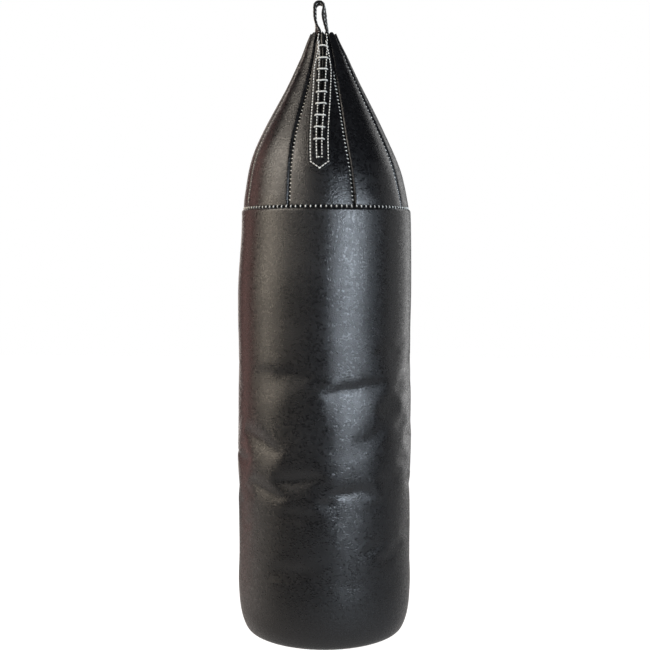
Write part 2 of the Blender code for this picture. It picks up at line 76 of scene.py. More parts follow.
# Body, from its own box where a box gives it.
BODY_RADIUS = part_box("body_panel")[1].x
BODY_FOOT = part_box("body_panel")[0].z
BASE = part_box("base_disc")[0].z
BASE_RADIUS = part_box("base_disc")[1].x
BASE_FOLD_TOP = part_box("base_disc")[1].z
WELT_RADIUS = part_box("base_welt")[1].x
WELT_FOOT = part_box("base_welt")[0].z
SHOULDER = (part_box("body_panel")[1].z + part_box("petal_3")[0].z) / 2
CORNER_REACH = 0.0145       # how far the body draws in towards its lower seam
CORNER_RISE = 0.045         # height over which it draws in
BODY_LIP = 0.005            # rounding of the body's upper edge
WALL_SLACK = 0.0016         # share by which the leather is longer than its straight wall
WALL_MOVE = 0.0030          # farthest that the simulation may move the leather
FOOT_SAG = 0.0035           # how far the rags' weight draws the lower corner down
BACK_JOINT = 0.0006         # slit between the panel's two edges
BACK_TUCK = 0.0010          # how far those edges are drawn in
BACK_TUCK_COLUMNS = 0.7     # how many of the mesh's columns the tuck reaches in
BACK_ROW = 0.0065           # back joint to the row of stitches on each side of it
WALL_ROWS = 110
WALL_COLUMNS = 144
GATHERS = 58                # round the base, near its rim
GATHER_DEPTH = 0.0005
BASE_RELIEF = 0.0006        # small unevenness of the base
TAPE_WIDTH = 0.024
TAPE_THICKNESS = 0.0015
LINING_THICKNESS = 0.0010

# Cone.
PETALS = 8
PETAL_ANGLE = 2 * math.pi / PETALS
SHOULDER_STEP = 0.0045      # how far the body stands proud of the cone
SHOULDER_RADIUS = BODY_RADIUS - SHOULDER_STEP
NECK_RADIUS = 0.0205
PETAL_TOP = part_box("petal_3")[1].z
CONE_FOOT = SHOULDER + GAP / 2 + FOLD_RADIUS
LOWER_HANDLE = (0.080, 0.382)   # shares of the cone's narrowing and height: full lower half
UPPER_HANDLE = (0.368, 0.417)   # shares of the cone's narrowing and height: hollow neck
SIDE_SEAM_RADIUS = 0.044    # of the cone, above which the petals' sides lie flat
SIDE_SEAM_FADE = 0.012      # of that radius, over which their turned-in width comes in
LEAST_FLANK = 0.0012        # leather below a petal's rolled edge
SEAM_OPENING = 0.0014       # dark groove between the rolled edges of two petals
FOOT_ROLL = 0.0028          # rolled edges at the petals' folded foot
SEAM_PULL = 0.0023          # how far the stitches draw the petals' seams into the stuffing
FOOT_PULL = 0.35            # share of that pull left at the petals' foot
FOOT_RUN = 0.040            # height over which it grows to the whole
SEAM_WEAR_REACH = 0.0045    # rubbed leather beside the petals' seams
LIP_WEAR_REACH = 0.006      # and along the body's lip and fold
RELIEF = 0.0011             # small unevenness of the petals
SEAM_STITCH_TOP = 0.036     # cone radius where the visible seam stitches end
SEAM_STITCH_DEPTH = 0.0004  # how deep they sink into the leather
SEAM_STITCH_ASIDE = 0.0020  # from the seam's rolled edge to their middles
SEAM_STITCH_SLANT = math.radians(90 - 14)   # they lie across the seam, a little aslant
SEAM_STITCH = 0.0048        # their length
SHOULDER_STITCH = 0.0050    # length of those in the shoulder seam
NECK_LEVEL = PETAL_TOP - 0.010
NECK_LEAN = 0.0016          # how far all below the neck stands to +X
NECK_LEAN_RUN = 0.03        # height over which it comes to that
# Where the body and the cone stray from that line: shift to +X, middle of its height above
# the shoulder seam, and half of that height.
SIDE_SHIFTS = ((0.0030, -0.025, 0.070), (-0.0018, 0.110, 0.045))
PETAL_CORNER = 0.0045       # rounding of a petal's upper corners
PETAL_NAMES = ["front_petal"] + [f"petal_{number}" for number in range(2, PETALS + 1)]

RAG_FOLDS = 0.0022          # depth of the folds of rag inside the neck
RAG_CREASES = 0.0012        # and of the creases in them

# Strap.
LOOP_SPREAD = 0.0145        # between the middles of the two legs
STRAP_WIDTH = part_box("loop_outer_ply")[1].y * 2
PLY_THICKNESS = 0.0016
STRAP_THICKNESS = 2 * PLY_THICKNESS + GAP
LEG_MIDDLE = LOOP_SPREAD / 2
STRAP_SPLIT = -0.030        # height where the loop's leather hands over to the legs'
RING_WIRE = 0.006
RING_LEVEL = (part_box("neck_ring")[0].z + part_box("neck_ring")[1].z) / 2
WRAP_RADIUS = RING_WIRE / 2 + GAP + STRAP_THICKNESS / 2
RING_MIDDLE = LEG_MIDDLE + WRAP_RADIUS
RETURN_ANGLE = math.radians(40)
RETURN_LAP = 0.002
LEG_STEPS = 14              # of the tail's path, down to the ring
STRAP_STITCH_INSET = 0.0034
ARCH_FOOT = -0.004          # height where the loop's arch ends and its sides hang straight
LOOP_LEAN = 0.0062          # how far the loop stands to -X
LOOP_OPENING = 0.02         # share by which it is wider than its tails
RIGHT_TURN = math.radians(-9)
LEFT_TWIST = math.radians(20)
TWIST_LEVEL = -0.045
TWIST_REACH = 0.009

# Lacing.
LACE_BARS = 9
LACE_PITCH = 0.0188
LACE_REACH = 0.0075         # middle of the slit to a hole's middle
HOLE_DIAMETER = 0.0034
PUNCH_LENGTH = 0.016        # right through the placket and the petal
STRAND_PITCH = 0.0016       # along the lace, from one crossing of its strands to the next
LACE_STEP = 0.0007          # between the rings of points that make it
BAR_TILT = 0.0009           # most that a bar's ends stand off its level
TOP_BAR_SLACK = 0.0018      # how far the topmost bar bows up
BRAID_TURN = 1800           # radians that the strands turn in a metre of lace
FIRST_BAR_DROP = 0.0264     # petal ends down to the first bar
SLIT_END = PETAL_TOP - 0.201
SLIT_TOP_WIDTH = 0.0060
SLIT_END_WIDTH = 0.0020
SLIT_MOUTH = 0.0100         # the slit's lips stand this far apart above the first bar
PLACKET_THICKNESS = 0.0014
PLACKET_WIDTH = 0.035
PLACKET_MARGIN = 0.0015     # petal leather left beside the placket
PLACKET_POINT = 0.012
PLACKET_TIP_WIDTH = 0.0016
OUTER_STITCH_INSET = 0.0042     # placket's edge in to its outer row of stitches
SLIT_STITCH_INSET = 0.0030      # slit's edge to the row beside it
LEAST_EDGE = 0.0014             # that row keeps this far from the placket's edge
STITCH_DIP = 0.00045            # how deep the stitches press into the placket
STITCH_DIP_REACH = 0.0011
STITCH_STAND = 0.0002           # middle of the thread over the placket
PLACKET_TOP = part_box("lacing_placket")[1].z
PLACKET_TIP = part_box("lacing_placket")[0].z
TONGUE_THICKNESS = 0.0012
TONGUE_TOP = PETAL_TOP - 0.001
LOW_CROWN = 0.0014          # swelling of the tongue in the lower part of the slit
HIGH_CROWN = 0.0040         # and behind the upper bars
MOUTH_CROWN = 0.0014        # what it gains above the first bar
TONGUE_FOOT = SLIT_END - 0.010


class BagSettings(bpy.types.PropertyGroup):
    """Sizes and colours that change the bag's look without changing what it joins to."""

    petal_puff: FloatProperty(
        name="Petal puff", description="How far the stuffing pushes each petal out between its seams",
        default=0.0022, min=0.0, max=0.006, unit="LENGTH")
    seam_roll: FloatProperty(
        name="Seam roll", description="Rounding of the petals' edges where they turn into a seam",
        default=0.0044, min=0.0024, max=0.005, unit="LENGTH")
    body_bulge: FloatProperty(
        name="Body bulge", description="How far the packed rags push the body out between its ends",
        default=0.0042, min=0.0, max=0.010, unit="LENGTH")
    dent_depth: FloatProperty(
        name="Dent depth", description="Depth of the level dents where the rags have settled",
        default=0.0020, min=0.0, max=0.005, unit="LENGTH")
    stitch_pitch: FloatProperty(
        name="Stitch pitch", description="Distance from one seam stitch to the next",
        default=0.0064, min=0.003, max=0.012, unit="LENGTH")
    thread_size: FloatProperty(
        name="Thread size", description="Diameter of the waxed thread",
        default=0.0017, min=0.0006, max=0.002, unit="LENGTH")
    lace_size: FloatProperty(
        name="Lace size", description="Diameter of the braided lace",
        default=0.0025, min=0.0015, max=0.003, unit="LENGTH")
    grain_size: FloatProperty(
        name="Grain size", description="Width of one pebble of the leather's grain",
        default=0.0030, min=0.0008, max=0.006, unit="LENGTH")
    leather_colour: StringProperty(
        name="Leather colour", description="sRGB hex colour of the pigmented leather", default="0b0b0d")
    leather_worn: StringProperty(
        name="Worn leather", description="sRGB hex colour of leather rubbed at folds", default="18181a")
    strap_colour: StringProperty(
        name="Strap colour", description="sRGB hex colour of the strap leather", default="0c0b0b")
    flesh_colour: StringProperty(
        name="Flesh side", description="sRGB hex colour of the leather's unfinished inside", default="3b3632")
    thread_colour: StringProperty(
        name="Thread colour", description="sRGB hex colour of the waxed thread", default="f6f4ee")
    lace_colour: StringProperty(
        name="Lace colour", description="sRGB hex colour of the lace", default="f6f5f0")


def settings():
    """The bag's settings on the current scene."""
    return bpy.context.scene.bag_settings


# Geometry of the cone and the body.

def polar(radius, angle, level):
    """A point at a radius and an angle from the front."""
    return Vector((radius * math.sin(angle), -radius * math.cos(angle), level))


def lean(level):
    """How far the hung bag stands to +X at a height: its shoulder sits a little beside its cone."""
    shift = NECK_LEAN * smooth((NECK_LEVEL - level) / NECK_LEAN_RUN)
    for most, middle, half_height in SIDE_SHIFTS:
        shift += most * math.exp(-((level - SHOULDER - middle) / half_height) ** 2)
    return shift


def on_bag(radius, angle, level):
    """A point of the stuffed bag at a radius and an angle from the front."""
    return polar(radius, angle, level) + Vector((lean(level), 0.0, 0.0))


def smooth(share):
    """Eased step from 0 to 1."""
    share = min(max(share, 0.0), 1.0)
    return share * share * (3 - 2 * share)


def cone_point(share):
    """Radius and height of the cone's outside at a share of its curve, from foot to neck."""
    narrowing = SHOULDER_RADIUS - NECK_RADIUS
    height = PETAL_TOP - CONE_FOOT
    handles = [(0.0, 0.0), LOWER_HANDLE, UPPER_HANDLE, (1.0, 1.0)]
    weights = [(1 - share) ** 3, 3 * share * (1 - share) ** 2, 3 * share ** 2 * (1 - share), share ** 3]
    drawn_in = sum(weight * handle[0] for weight, handle in zip(weights, handles))
    risen = sum(weight * handle[1] for weight, handle in zip(weights, handles))
    return SHOULDER_RADIUS - narrowing * drawn_in, CONE_FOOT + height * risen


def cone_share(value, which):
    """Share of the cone's curve where its radius (which=0) or height (which=1) has a value."""
    halvings = 24
    low, high = 0.0, 1.0
    for _ in range(halvings):
        middle = (low + high) / 2
        if (cone_point(middle)[which] < value) == (which == 1):
            low = middle
        else:
            high = middle
    return (low + high) / 2


def cone_normal(share):
    """Outward direction of the cone's outline at a share of its curve, as (radial, upward)."""
    step = 0.01
    low = cone_point(max(share - step, 0.0))
    high = cone_point(min(share + step, 1.0))
    return Vector((high[1] - low[1], low[0] - high[0])).normalized()


def puff(across, level):
    """How far a petal stands off the cone, across from its middle: its seams are drawn in."""
    radius = cone_point(cone_share(level, 1))[0]
    half = radius * PETAL_ANGLE / 2
    share = min(abs(across) / half, 1.0)
    above_foot = smooth((level - CONE_FOOT) / FOOT_RUN)
    below_neck = smooth((radius - NECK_RADIUS) / (SIDE_SEAM_RADIUS - NECK_RADIUS))
    drawn_in = SEAM_PULL * (FOOT_PULL + (1 - FOOT_PULL) * above_foot) * below_neck
    return settings().petal_puff * below_neck * (1 - share ** 2) - drawn_in


def on_petal(across, level, lift, middle=0.0):
    """A point on a petal, lifted off its puffed outside along the cone's normal."""
    share = cone_share(level, 1)
    radius, _ = cone_point(share)
    normal = cone_normal(share)
    lift += puff(across, level)
    return on_bag(radius + lift * normal.x, middle + across / radius, level + lift * normal.y)


def evenly(start, end, steps):
    """Values from start to end, both included."""
    return [start + (end - start) * step / steps for step in range(steps + 1)]


def round_about(count):
    """Angles at an even pitch all the way round."""
    return [2 * math.pi * step / count for step in range(count)]


def arc(centre, radius, start, end, steps):
    """Points along a circular arc, both ends included; angles in radians."""
    return [(centre[0] + radius * math.cos(angle), centre[1] + radius * math.sin(angle))
            for angle in evenly(start, end, steps)]


def line(start, end, steps):
    """Points from start to end, without the end."""
    return [(start[0] + (end[0] - start[0]) * step / steps, start[1] + (end[1] - start[1]) * step / steps)
            for step in range(steps)]


def shifted(path, distance):
    """The path moved to its left by a distance, with mitred bends."""
    moved = []
    for index, point in enumerate(path):
        here = Vector(point)
        before = here - Vector(path[max(index - 1, 0)])
        after = Vector(path[min(index + 1, len(path) - 1)]) - here
        normals = [Vector((-side.y, side.x)).normalized() for side in (before, after) if side.length > 0]
        bisector = sum(normals, Vector((0.0, 0.0))).normalized()
        reach = distance / max(bisector.dot(normals[0]), 0.5)
        moved.append((here.x + bisector.x * reach, here.y + bisector.y * reach))
    return moved


# Making pieces.

def deselect():
    """Leave nothing selected, so that the next operator acts on its own piece only."""
    if bpy.context.object and bpy.context.object.mode != "OBJECT":
        bpy.ops.object.mode_set(mode="OBJECT")
    bpy.ops.object.select_all(action="DESELECT")


def pick(thing):
    """Make one object the selected and active one."""
    deselect()
    thing.select_set(True)
    bpy.context.view_layer.objects.active = thing


def apply_modifiers(thing):
    """Apply an object's modifiers from first to last."""
    pick(thing)
    for modifier in list(thing.modifiers):
        bpy.ops.object.modifier_apply(modifier=modifier.name)


def add_piece(name, points, faces, *materials):
    """A mesh object from its corners and faces."""
    mesh = bpy.data.meshes.new(name)
    mesh.from_pydata(points, [], faces)
    thing = bpy.data.objects.new(name, mesh)
    bpy.context.scene.collection.objects.link(thing)
    for material in materials:
        mesh.materials.append(material)
    return thing


def soften(thing, degrees=40):
    """Smooth shading, kept crisp at edges sharper than an angle."""
    pick(thing)
    bpy.ops.object.shade_smooth_by_angle(angle=math.radians(degrees))


def lofted(name, loops, materials, two_faced=False, closed=False):
    """Closed skin through a row of loops of equal count.

    On a two-faced one, the second half of each loop is the inside, and takes the second material.
    """
    count = len(loops[0])
    points = [point for loop in loops for point in loop]
    faces = []
    rows = len(loops) if closed else len(loops) - 1
    nearest = 0.000001
    for row in range(rows):
        near = row * count
        far = (row + 1) % len(loops) * count
        for place in range(count):
            after = (place + 1) % count
            faces.append((near + place, near + after, far + after, far + place))
    if not closed:
        faces.append(tuple(range(count))[::-1])
        last = (len(loops) - 1) * count
        faces.append(tuple(range(last, last + count)))
    thing = add_piece(name, points, faces, *materials)
    if two_faced:
        for index, face in enumerate(thing.data.polygons):
            face.material_index = int(index % count >= count // 2 and index < rows * count)
    shell = bmesh.new()
    shell.from_mesh(thing.data)
    bmesh.ops.remove_doubles(shell, verts=shell.verts, dist=nearest)
    bmesh.ops.recalc_face_normals(shell, faces=shell.faces)
    shell.to_mesh(thing.data)
    shell.free()
    return thing


def placement(place, along, out):
    """Matrix at a place whose X axis runs along a stitch and whose Z axis leaves the leather."""
    side = out.cross(along).normalized()
    along = side.cross(out).normalized()
    turn = Matrix((along, side, out.normalized())).transposed().to_4x4()
    return Matrix.Translation(place) @ turn


def hand_over(piece, node):
    """Shade a finished piece of the bag, which stands for one of the frame's nodes."""
    soften(piece)
    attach(piece, "bag")
    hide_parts(node)


def make_stitch(length, thread):
    """One stitch: a bead of thread, long in X, whose ends dip into the leather."""
    deselect()
    bpy.ops.mesh.primitive_uv_sphere_add(segments=6, ring_count=5, radius=0.5)
    bpy.ops.object.mode_set(mode="EDIT")
    bpy.ops.mesh.select_all(action="SELECT")
    bpy.ops.transform.rotate(value=math.pi / 2, orient_axis="Y", center_override=(0, 0, 0))
    bpy.ops.transform.resize(value=(length, thread, thread), center_override=(0, 0, 0))
    bpy.ops.object.mode_set(mode="OBJECT")
    stitch = bpy.context.object
    for corner in stitch.data.vertices:
        # The thread swells from three quarters of its size at the ends to a tenth over it.
        fullness = max(1 - abs(corner.co.x) / (length / 2), 0.0)
        swell = 1 + 0.35 * fullness ** 0.3 - 0.25
        corner.co.y *= swell
        corner.co.z = corner.co.z * swell - thread * 0.55 * (corner.co.x / (length / 2)) ** 2
    return stitch


def sew(name, length, places, material, thread=None):
    """Copies of one stitch at many placements, gathered in one piece."""
    stitch = make_stitch(length, thread or settings().thread_size)
    corners = [corner.co.copy() for corner in stitch.data.vertices]
    sides = [tuple(face.vertices) for face in stitch.data.polygons]
    bpy.data.objects.remove(stitch, do_unlink=True)
    points = []
    faces = []
    for place in places:
        start = len(points)
        points += [place @ corner for corner in corners]
        faces += [tuple(start + corner for corner in side) for side in sides]
    seam = add_piece(name, points, faces, material)
    seam.data.shade_smooth()
    return seam


def spaced(route, lay, pitch):
    """Placements at an even pitch along a route of (across, level) points that lay() puts in space."""
    dense = []
    for start, end in zip(route, route[1:]):
        dense += line(start, end, 24)
    dense.append(route[-1])
    spots = [lay(across, level, 0.0) for across, level in dense]
    places = []
    walked = pitch / 2
    for index in range(1, len(spots)):
        step = spots[index] - spots[index - 1]
        while walked <= step.length:
            share = walked / step.length
            across = dense[index - 1][0] + (dense[index][0] - dense[index - 1][0]) * share
            level = dense[index - 1][1] + (dense[index][1] - dense[index - 1][1]) * share
            out = lay(across, level, 0.001) - lay(across, level, 0.0)
            places.append(placement(lay(across, level, 0.0), step, out))
            walked += pitch
        walked -= step.length
    return places


# Materials.

def srgb(code, alpha=1.0):
    """Linear colour of an sRGB hex code."""
    values = [int(code[place:place + 2], 16) / 255 for place in (0, 2, 4)]
    linear = [value / 12.92 if value <= 0.04045 else ((value + 0.055) / 1.055) ** 2.4 for value in values]
    return (*linear, alpha)


def add_node(tree, kind, options=None, inputs=None, stops=()):
    """Add a node, set its options, fill its inputs with values or link them to sockets.

    The stops of a colour ramp are its (position, sRGB hex) pairs, at least two, in order.
    """
    node = tree.nodes.new(kind)
    for name, value in (options or {}).items():
        setattr(node, name, value)
    for name, value in (inputs or {}).items():
        if isinstance(value, bpy.types.NodeSocket):
            tree.links.new(value, node.inputs[name])
        else:
            node.inputs[name].default_value = value
    for index, (position, code) in enumerate(stops):
        elements = node.color_ramp.elements
        stop = elements[index] if index < len(elements) else elements.new(position)
        stop.position = position
        stop.color = srgb(code)
    return node


def new_material(name):
    """A material with an empty node tree, and that tree."""
    material = bpy.data.materials.new(name)
    material.use_nodes = True
    material.node_tree.nodes.clear()
    return material, material.node_tree


def finished(material, inputs):
    """The material, once its surface is one shader with these inputs."""
    shader = add_node(material.node_tree, "ShaderNodeBsdfPrincipled", None, inputs)
    add_node(material.node_tree, "ShaderNodeOutputMaterial", None, {"Surface": shader.outputs["BSDF"]})
    return material


def leather(name, colour, worn, roughness, grain, depth, lacquer=0.6):
    """Pigmented cowhide with a pressed pebble grain: near-black, satin, glossier where rubbed."""
    material, tree = new_material(name)
    place = add_node(tree, "ShaderNodeTexCoord").outputs["Object"]
    # Fine pores of 1 mm, slow creases and flat spots of 14 mm, and patches of polish and dust of 60 mm.
    pores, creased, patches = [
        add_node(tree, "ShaderNodeTexNoise", None,
                 {"Vector": place, "Scale": 1 / width, "Detail": detail, "Roughness": rough}).outputs["Fac"]
        for width, detail, rough in ((0.0011, 2.0, 0.6), (0.014, 2.0, 0.5), (0.060, 3.0, 0.6))]
    # Pebbles of the pressed grain; their true 1 mm is drawn three times as coarse so that it shows.
    # Every pebble has taken the polish a little differently, which makes the gloss sparkle.
    pebble = {"Vector": place, "Scale": 1 / grain, "Randomness": 1.0}
    borders = add_node(tree, "ShaderNodeTexVoronoi", {"feature": "DISTANCE_TO_EDGE"}, pebble)
    polish = add_node(tree, "ShaderNodeTexVoronoi", None, pebble)
    each = add_node(tree, "ShaderNodeSeparateColor", None, {"Color": polish.outputs["Color"]})
    valleys = add_node(tree, "ShaderNodeMapRange", None,
                       {"Value": borders.outputs["Distance"], "From Min": 0.0, "From Max": 0.45})
    height = add_node(tree, "ShaderNodeMath", {"operation": "MULTIPLY_ADD"},
                      {0: pores, 1: 0.45, 2: valleys.outputs["Result"]})
    grained = add_node(tree, "ShaderNodeBump", None,
                       {"Height": height.outputs["Value"], "Strength": 0.7, "Distance": depth})
    folded = add_node(tree, "ShaderNodeBump", None,
                      {"Height": creased, "Strength": 0.12, "Distance": 0.0012,
                       "Normal": grained.outputs["Normal"]})
    # Paler where it is rubbed, and a little where it is dusty.
    wear = add_node(tree, "ShaderNodeAttribute", {"attribute_name": "wear"})
    rubbed = add_node(tree, "ShaderNodeMath", {"operation": "MULTIPLY"}, {0: wear.outputs["Fac"], 1: patches})
    tone = add_node(tree, "ShaderNodeMath", {"operation": "MULTIPLY_ADD", "use_clamp": True},
                    {0: patches, 1: 0.35, 2: rubbed.outputs["Value"]})
    gloss = add_node(tree, "ShaderNodeMapRange", None,
                     {"Value": patches, "From Min": 0.3, "From Max": 0.7,
                      "To Min": roughness - 0.09, "To Max": roughness + 0.02})
    uneven = add_node(tree, "ShaderNodeMath", {"operation": "MULTIPLY_ADD"},
                      {0: each.outputs["Red"], 1: 0.30, 2: gloss.outputs["Result"]})
    pigment = add_node(tree, "ShaderNodeValToRGB", None, {"Fac": tone.outputs["Value"]},
                       [(0.0, colour), (1.0, worn)])
    # The clear lacquer over the pigment is glossier than the grain under it.
    return finished(material, {
        "Base Color": pigment.outputs["Color"],
        "Roughness": uneven.outputs["Value"], "Normal": folded.outputs["Normal"],
        "IOR": 1.50, "Specular IOR Level": 0.36,
        "Coat Weight": lacquer, "Coat Roughness": roughness * 0.6, "Coat Normal": grained.outputs["Normal"]})


def suede(name, colour):
    """Flesh side of leather, or felt: brushed, matt and fibrous."""
    material, tree = new_material(name)
    place = add_node(tree, "ShaderNodeTexCoord").outputs["Object"]
    # Tufts of nap 1.2 mm across.
    nap = add_node(tree, "ShaderNodeTexNoise", None,
                   {"Vector": place, "Scale": 1 / 0.0012, "Detail": 5.0, "Roughness": 0.75}).outputs["Fac"]
    bump = add_node(tree, "ShaderNodeBump", None, {"Height": nap, "Strength": 0.8, "Distance": 0.0004})
    tint = add_node(tree, "ShaderNodeValToRGB", None, {"Fac": nap}, [(0.3, "1d1b1a"), (0.7, colour)])
    return finished(material, {
        "Base Color": tint.outputs["Color"],
        "Roughness": 0.92, "Sheen Weight": 0.25, "Normal": bump.outputs["Normal"]})


def twisted_thread(name, colour):
    """Waxed polyester thread: white, three-ply twist, a soft wax shine."""
    material, tree = new_material(name)
    place = add_node(tree, "ShaderNodeTexCoord").outputs["Object"]
    # Plies repeat every 1.2 mm.
    fibres = add_node(tree, "ShaderNodeTexNoise", None,
                      {"Vector": place, "Scale": 1 / 0.0012, "Detail": 3.0}).outputs["Fac"]
    bump = add_node(tree, "ShaderNodeBump", None, {"Height": fibres, "Strength": 0.4, "Distance": 0.0002})
    tint = add_node(tree, "ShaderNodeValToRGB", None, {"Fac": fibres}, [(0.25, "b9b5ab"), (0.6, colour)])
    return finished(material, {
        "Base Color": tint.outputs["Color"],
        "Roughness": 0.55, "Normal": bump.outputs["Normal"]})


def braided_cord(name, colour):
    """Braided cotton cord: off-white, matt, with painted shadow between its strands."""
    material, tree = new_material(name)
    turns = add_node(tree, "ShaderNodeUVMap", {"uv_map": "length"}).outputs["UV"]
    # The UV map counts the strands, which cross every 1.6 mm of length.
    strands = add_node(tree, "ShaderNodeTexVoronoi", {"voronoi_dimensions": "2D"},
                       {"Vector": turns, "Scale": 1.0, "Randomness": 0.15}).outputs["Distance"]
    bump = add_node(tree, "ShaderNodeBump", {"invert": True},
                    {"Height": strands, "Strength": 0.8, "Distance": 0.0003})
    # Darker towards the borders of each strand: painted shadow between the strands.
    tint = add_node(tree, "ShaderNodeValToRGB", None, {"Fac": strands}, [(0.15, colour), (0.75, "a8a49a")])
    return finished(material, {
        "Base Color": tint.outputs["Color"],
        "Roughness": 0.85, "Normal": bump.outputs["Normal"]})


def drawn_steel(name):
    """Welded ring of bright drawn steel wire under a dull, uneven film."""
    material, tree = new_material(name)
    place = add_node(tree, "ShaderNodeTexCoord").outputs["Object"]
    # Spots of the film, 4 mm.
    film = add_node(tree, "ShaderNodeTexNoise", None,
                    {"Vector": place, "Scale": 1 / 0.004, "Detail": 4.0}).outputs["Fac"]
    gloss = add_node(tree, "ShaderNodeMapRange", None, {"Value": film, "To Min": 0.25, "To Max": 0.45})
    tint = add_node(tree, "ShaderNodeValToRGB", None, {"Fac": film}, [(0.3, "8d8e90"), (0.7, "b9babc")])
    return finished(material, {
        "Base Color": tint.outputs["Color"],
        "Metallic": 1.0, "Roughness": gloss.outputs["Result"]})


def woven(name, light, dark, thread_width):
    """Plain-woven cloth: rounded threads over and under, matt, with painted shade between the threads."""
    material, tree = new_material(name)
    place = add_node(tree, "ShaderNodeTexCoord").outputs["Object"]
    threads = add_node(tree, "ShaderNodeTexVoronoi", None,
                       {"Vector": place, "Scale": 1 / thread_width, "Randomness": 0.2}).outputs["Distance"]
    bump = add_node(tree, "ShaderNodeBump", {"invert": True},
                    {"Height": threads, "Strength": 0.7, "Distance": 0.0004})
    # Darker towards the borders of each thread: painted shade in the gaps between threads.
    tint = add_node(tree, "ShaderNodeValToRGB", None, {"Fac": threads}, [(0.2, light), (0.8, dark)])
    return finished(material, {
        "Base Color": tint.outputs["Color"],
        "Roughness": 0.9, "Normal": bump.outputs["Normal"]})


def rag_cloth(name):
    """Torn cotton rags: mixed faded greys, blues and ochres, pressed into folds."""
    material, tree = new_material(name)
    place = add_node(tree, "ShaderNodeTexCoord").outputs["Object"]
    # Scraps 14 mm across, with fibres of 1.5 mm.
    scraps = add_node(tree, "ShaderNodeTexVoronoi", None, {"Vector": place, "Scale": 1 / 0.014})
    each = add_node(tree, "ShaderNodeSeparateColor", None, {"Color": scraps.outputs["Color"]})
    fibres = add_node(tree, "ShaderNodeTexNoise", None, {"Vector": place, "Scale": 1 / 0.0015, "Detail": 4.0})
    bump = add_node(tree, "ShaderNodeBump", None,
                    {"Height": fibres.outputs["Fac"], "Strength": 0.8, "Distance": 0.0006})
    dyes = add_node(
        tree, "ShaderNodeValToRGB", None, {"Fac": each.outputs["Red"]},
        [(0.0, "6b6a66"), (0.3, "4c5562"), (0.5, "8a8272"), (0.75, "5d4f49"), (1.0, "9a988f")])
    return finished(material, {
        "Base Color": dyes.outputs["Color"],
        "Roughness": 0.95, "Normal": bump.outputs["Normal"]})


def white_paper(name):
    """Matt white paper of the floor: it shows white, still takes the bag's soft shadow, and glows in the
    leather's reflections as a painted pool of light.
    """
    material, tree = new_material(name)
    # Clouds in the pulp, 25 mm.
    grain = add_node(tree, "ShaderNodeTexNoise", None, {"Scale": 1 / 0.025, "Detail": 2.0})
    shade = add_node(tree, "ShaderNodeValToRGB", None, {"Fac": grain.outputs["Fac"]},
                     [(0.0, "c9c9c9"), (1.0, "d0d0d0")])
    paper = add_node(tree, "ShaderNodeBsdfPrincipled", None,
                     {"Base Color": shade.outputs["Color"], "Roughness": 0.9})
    rays = add_node(tree, "ShaderNodeLightPath")
    mirrored = add_node(tree, "ShaderNodeMath", {"operation": "MAXIMUM"},
                        {0: rays.outputs["Is Glossy Ray"], 1: rays.outputs["Is Transmission Ray"]})
    place = add_node(tree, "ShaderNodeTexCoord")
    reach = add_node(tree, "ShaderNodeVectorMath", {"operation": "LENGTH"}, {0: place.outputs["Object"]})
    # Seen directly, it is brighter away from the bag, where the lamps reach it less; mirrored in the leather,
    # it glows as a painted pool of light under the bag, which no lamp casts, and fades outwards.
    lift, painted_light_pool = [
        add_node(tree, "ShaderNodeMapRange", None,
                 {"Value": reach.outputs["Value"], "From Min": near, "From Max": far,
                  "To Min": at_near, "To Max": at_far}).outputs["Result"]
        for near, far, at_near, at_far in ((1.6, 2.7, 0.80, 1.0), (1.1, 1.6, 0.50, 0.03))]
    direct = add_node(tree, "ShaderNodeMath", {"operation": "MULTIPLY"},
                      {0: rays.outputs["Is Camera Ray"], 1: lift})
    # Glossy and transmission rays see the painted pool of light glowing on the paper.
    seen = add_node(tree, "ShaderNodeMath", {"operation": "MULTIPLY_ADD"},
                    {0: mirrored.outputs["Value"], 1: painted_light_pool, 2: direct.outputs["Value"]})
    glow = add_node(tree, "ShaderNodeEmission", None, {"Strength": seen.outputs["Value"]})
    both = add_node(tree, "ShaderNodeAddShader", None,
                    {0: paper.outputs["BSDF"], 1: glow.outputs["Emission"]})
    add_node(tree, "ShaderNodeOutputMaterial", None, {"Surface": both.outputs["Shader"]})
    return material


def finish_named(name):
    """The bag's material of a name, made the first time it is asked for."""
    found = bpy.data.materials.get(name)
    if found:
        return found
    own = settings()
    grain = own.grain_size
    finishes = {
        "pebbled_cowhide": (leather, own.leather_colour, own.leather_worn, 0.22, grain, 0.00030),
        "bridle_leather": (leather, own.strap_colour, "1a1817", 0.45, grain * 0.6, 0.00020, 0.15),
        "glazed_leather": (leather, "121314", "1d1e20", 0.22, grain * 0.8, 0.00015),
        "leather_flesh_side": (suede, own.flesh_colour),
        "waxed_thread": (twisted_thread, own.thread_colour),
        "braided_cotton": (braided_cord, own.lace_colour),
        "drawn_steel_wire": (drawn_steel,),
        # The canvas's second colour is the painted shade between its threads.
        "cotton_canvas": (woven, "b3a88d", "7d745f", 0.0016),
        "pressed_felt": (suede, "6c6c6c"),
        "cotton_rags": (rag_cloth,),
    }
    make, *choices = finishes[name]
    return make(name, *choices)


def leather_faces(outside="pebbled_cowhide"):
    """A leather's outside and its flesh side."""
    return [finish_named(outside), finish_named("leather_flesh_side")]


# Petals.

def petal_rows():
    """(radius, level, normal, share) of a petal's outside from its turned-in foot to its top."""
    foot = SHOULDER + GAP / 2
    middle = (SHOULDER_RADIUS - FOLD_RADIUS, foot + FOLD_RADIUS)
    rows = []
    for radius, level in line((SHOULDER_RADIUS - SEAM_ALLOWANCE, foot), (middle[0], foot), 2):
        rows.append((radius, level, Vector((0.0, -1.0)), -1.0))
    for angle in evenly(-math.pi / 2, 0.0, 7)[:-1]:
        out = Vector((math.cos(angle), math.sin(angle)))
        rows.append((middle[0] + FOLD_RADIUS * out.x, middle[1] + FOLD_RADIUS * out.y, out, -1.0))
    for share in evenly(0.0, 1.0, 84):
        rows.append((*cone_point(share), cone_normal(share), share))
    return rows


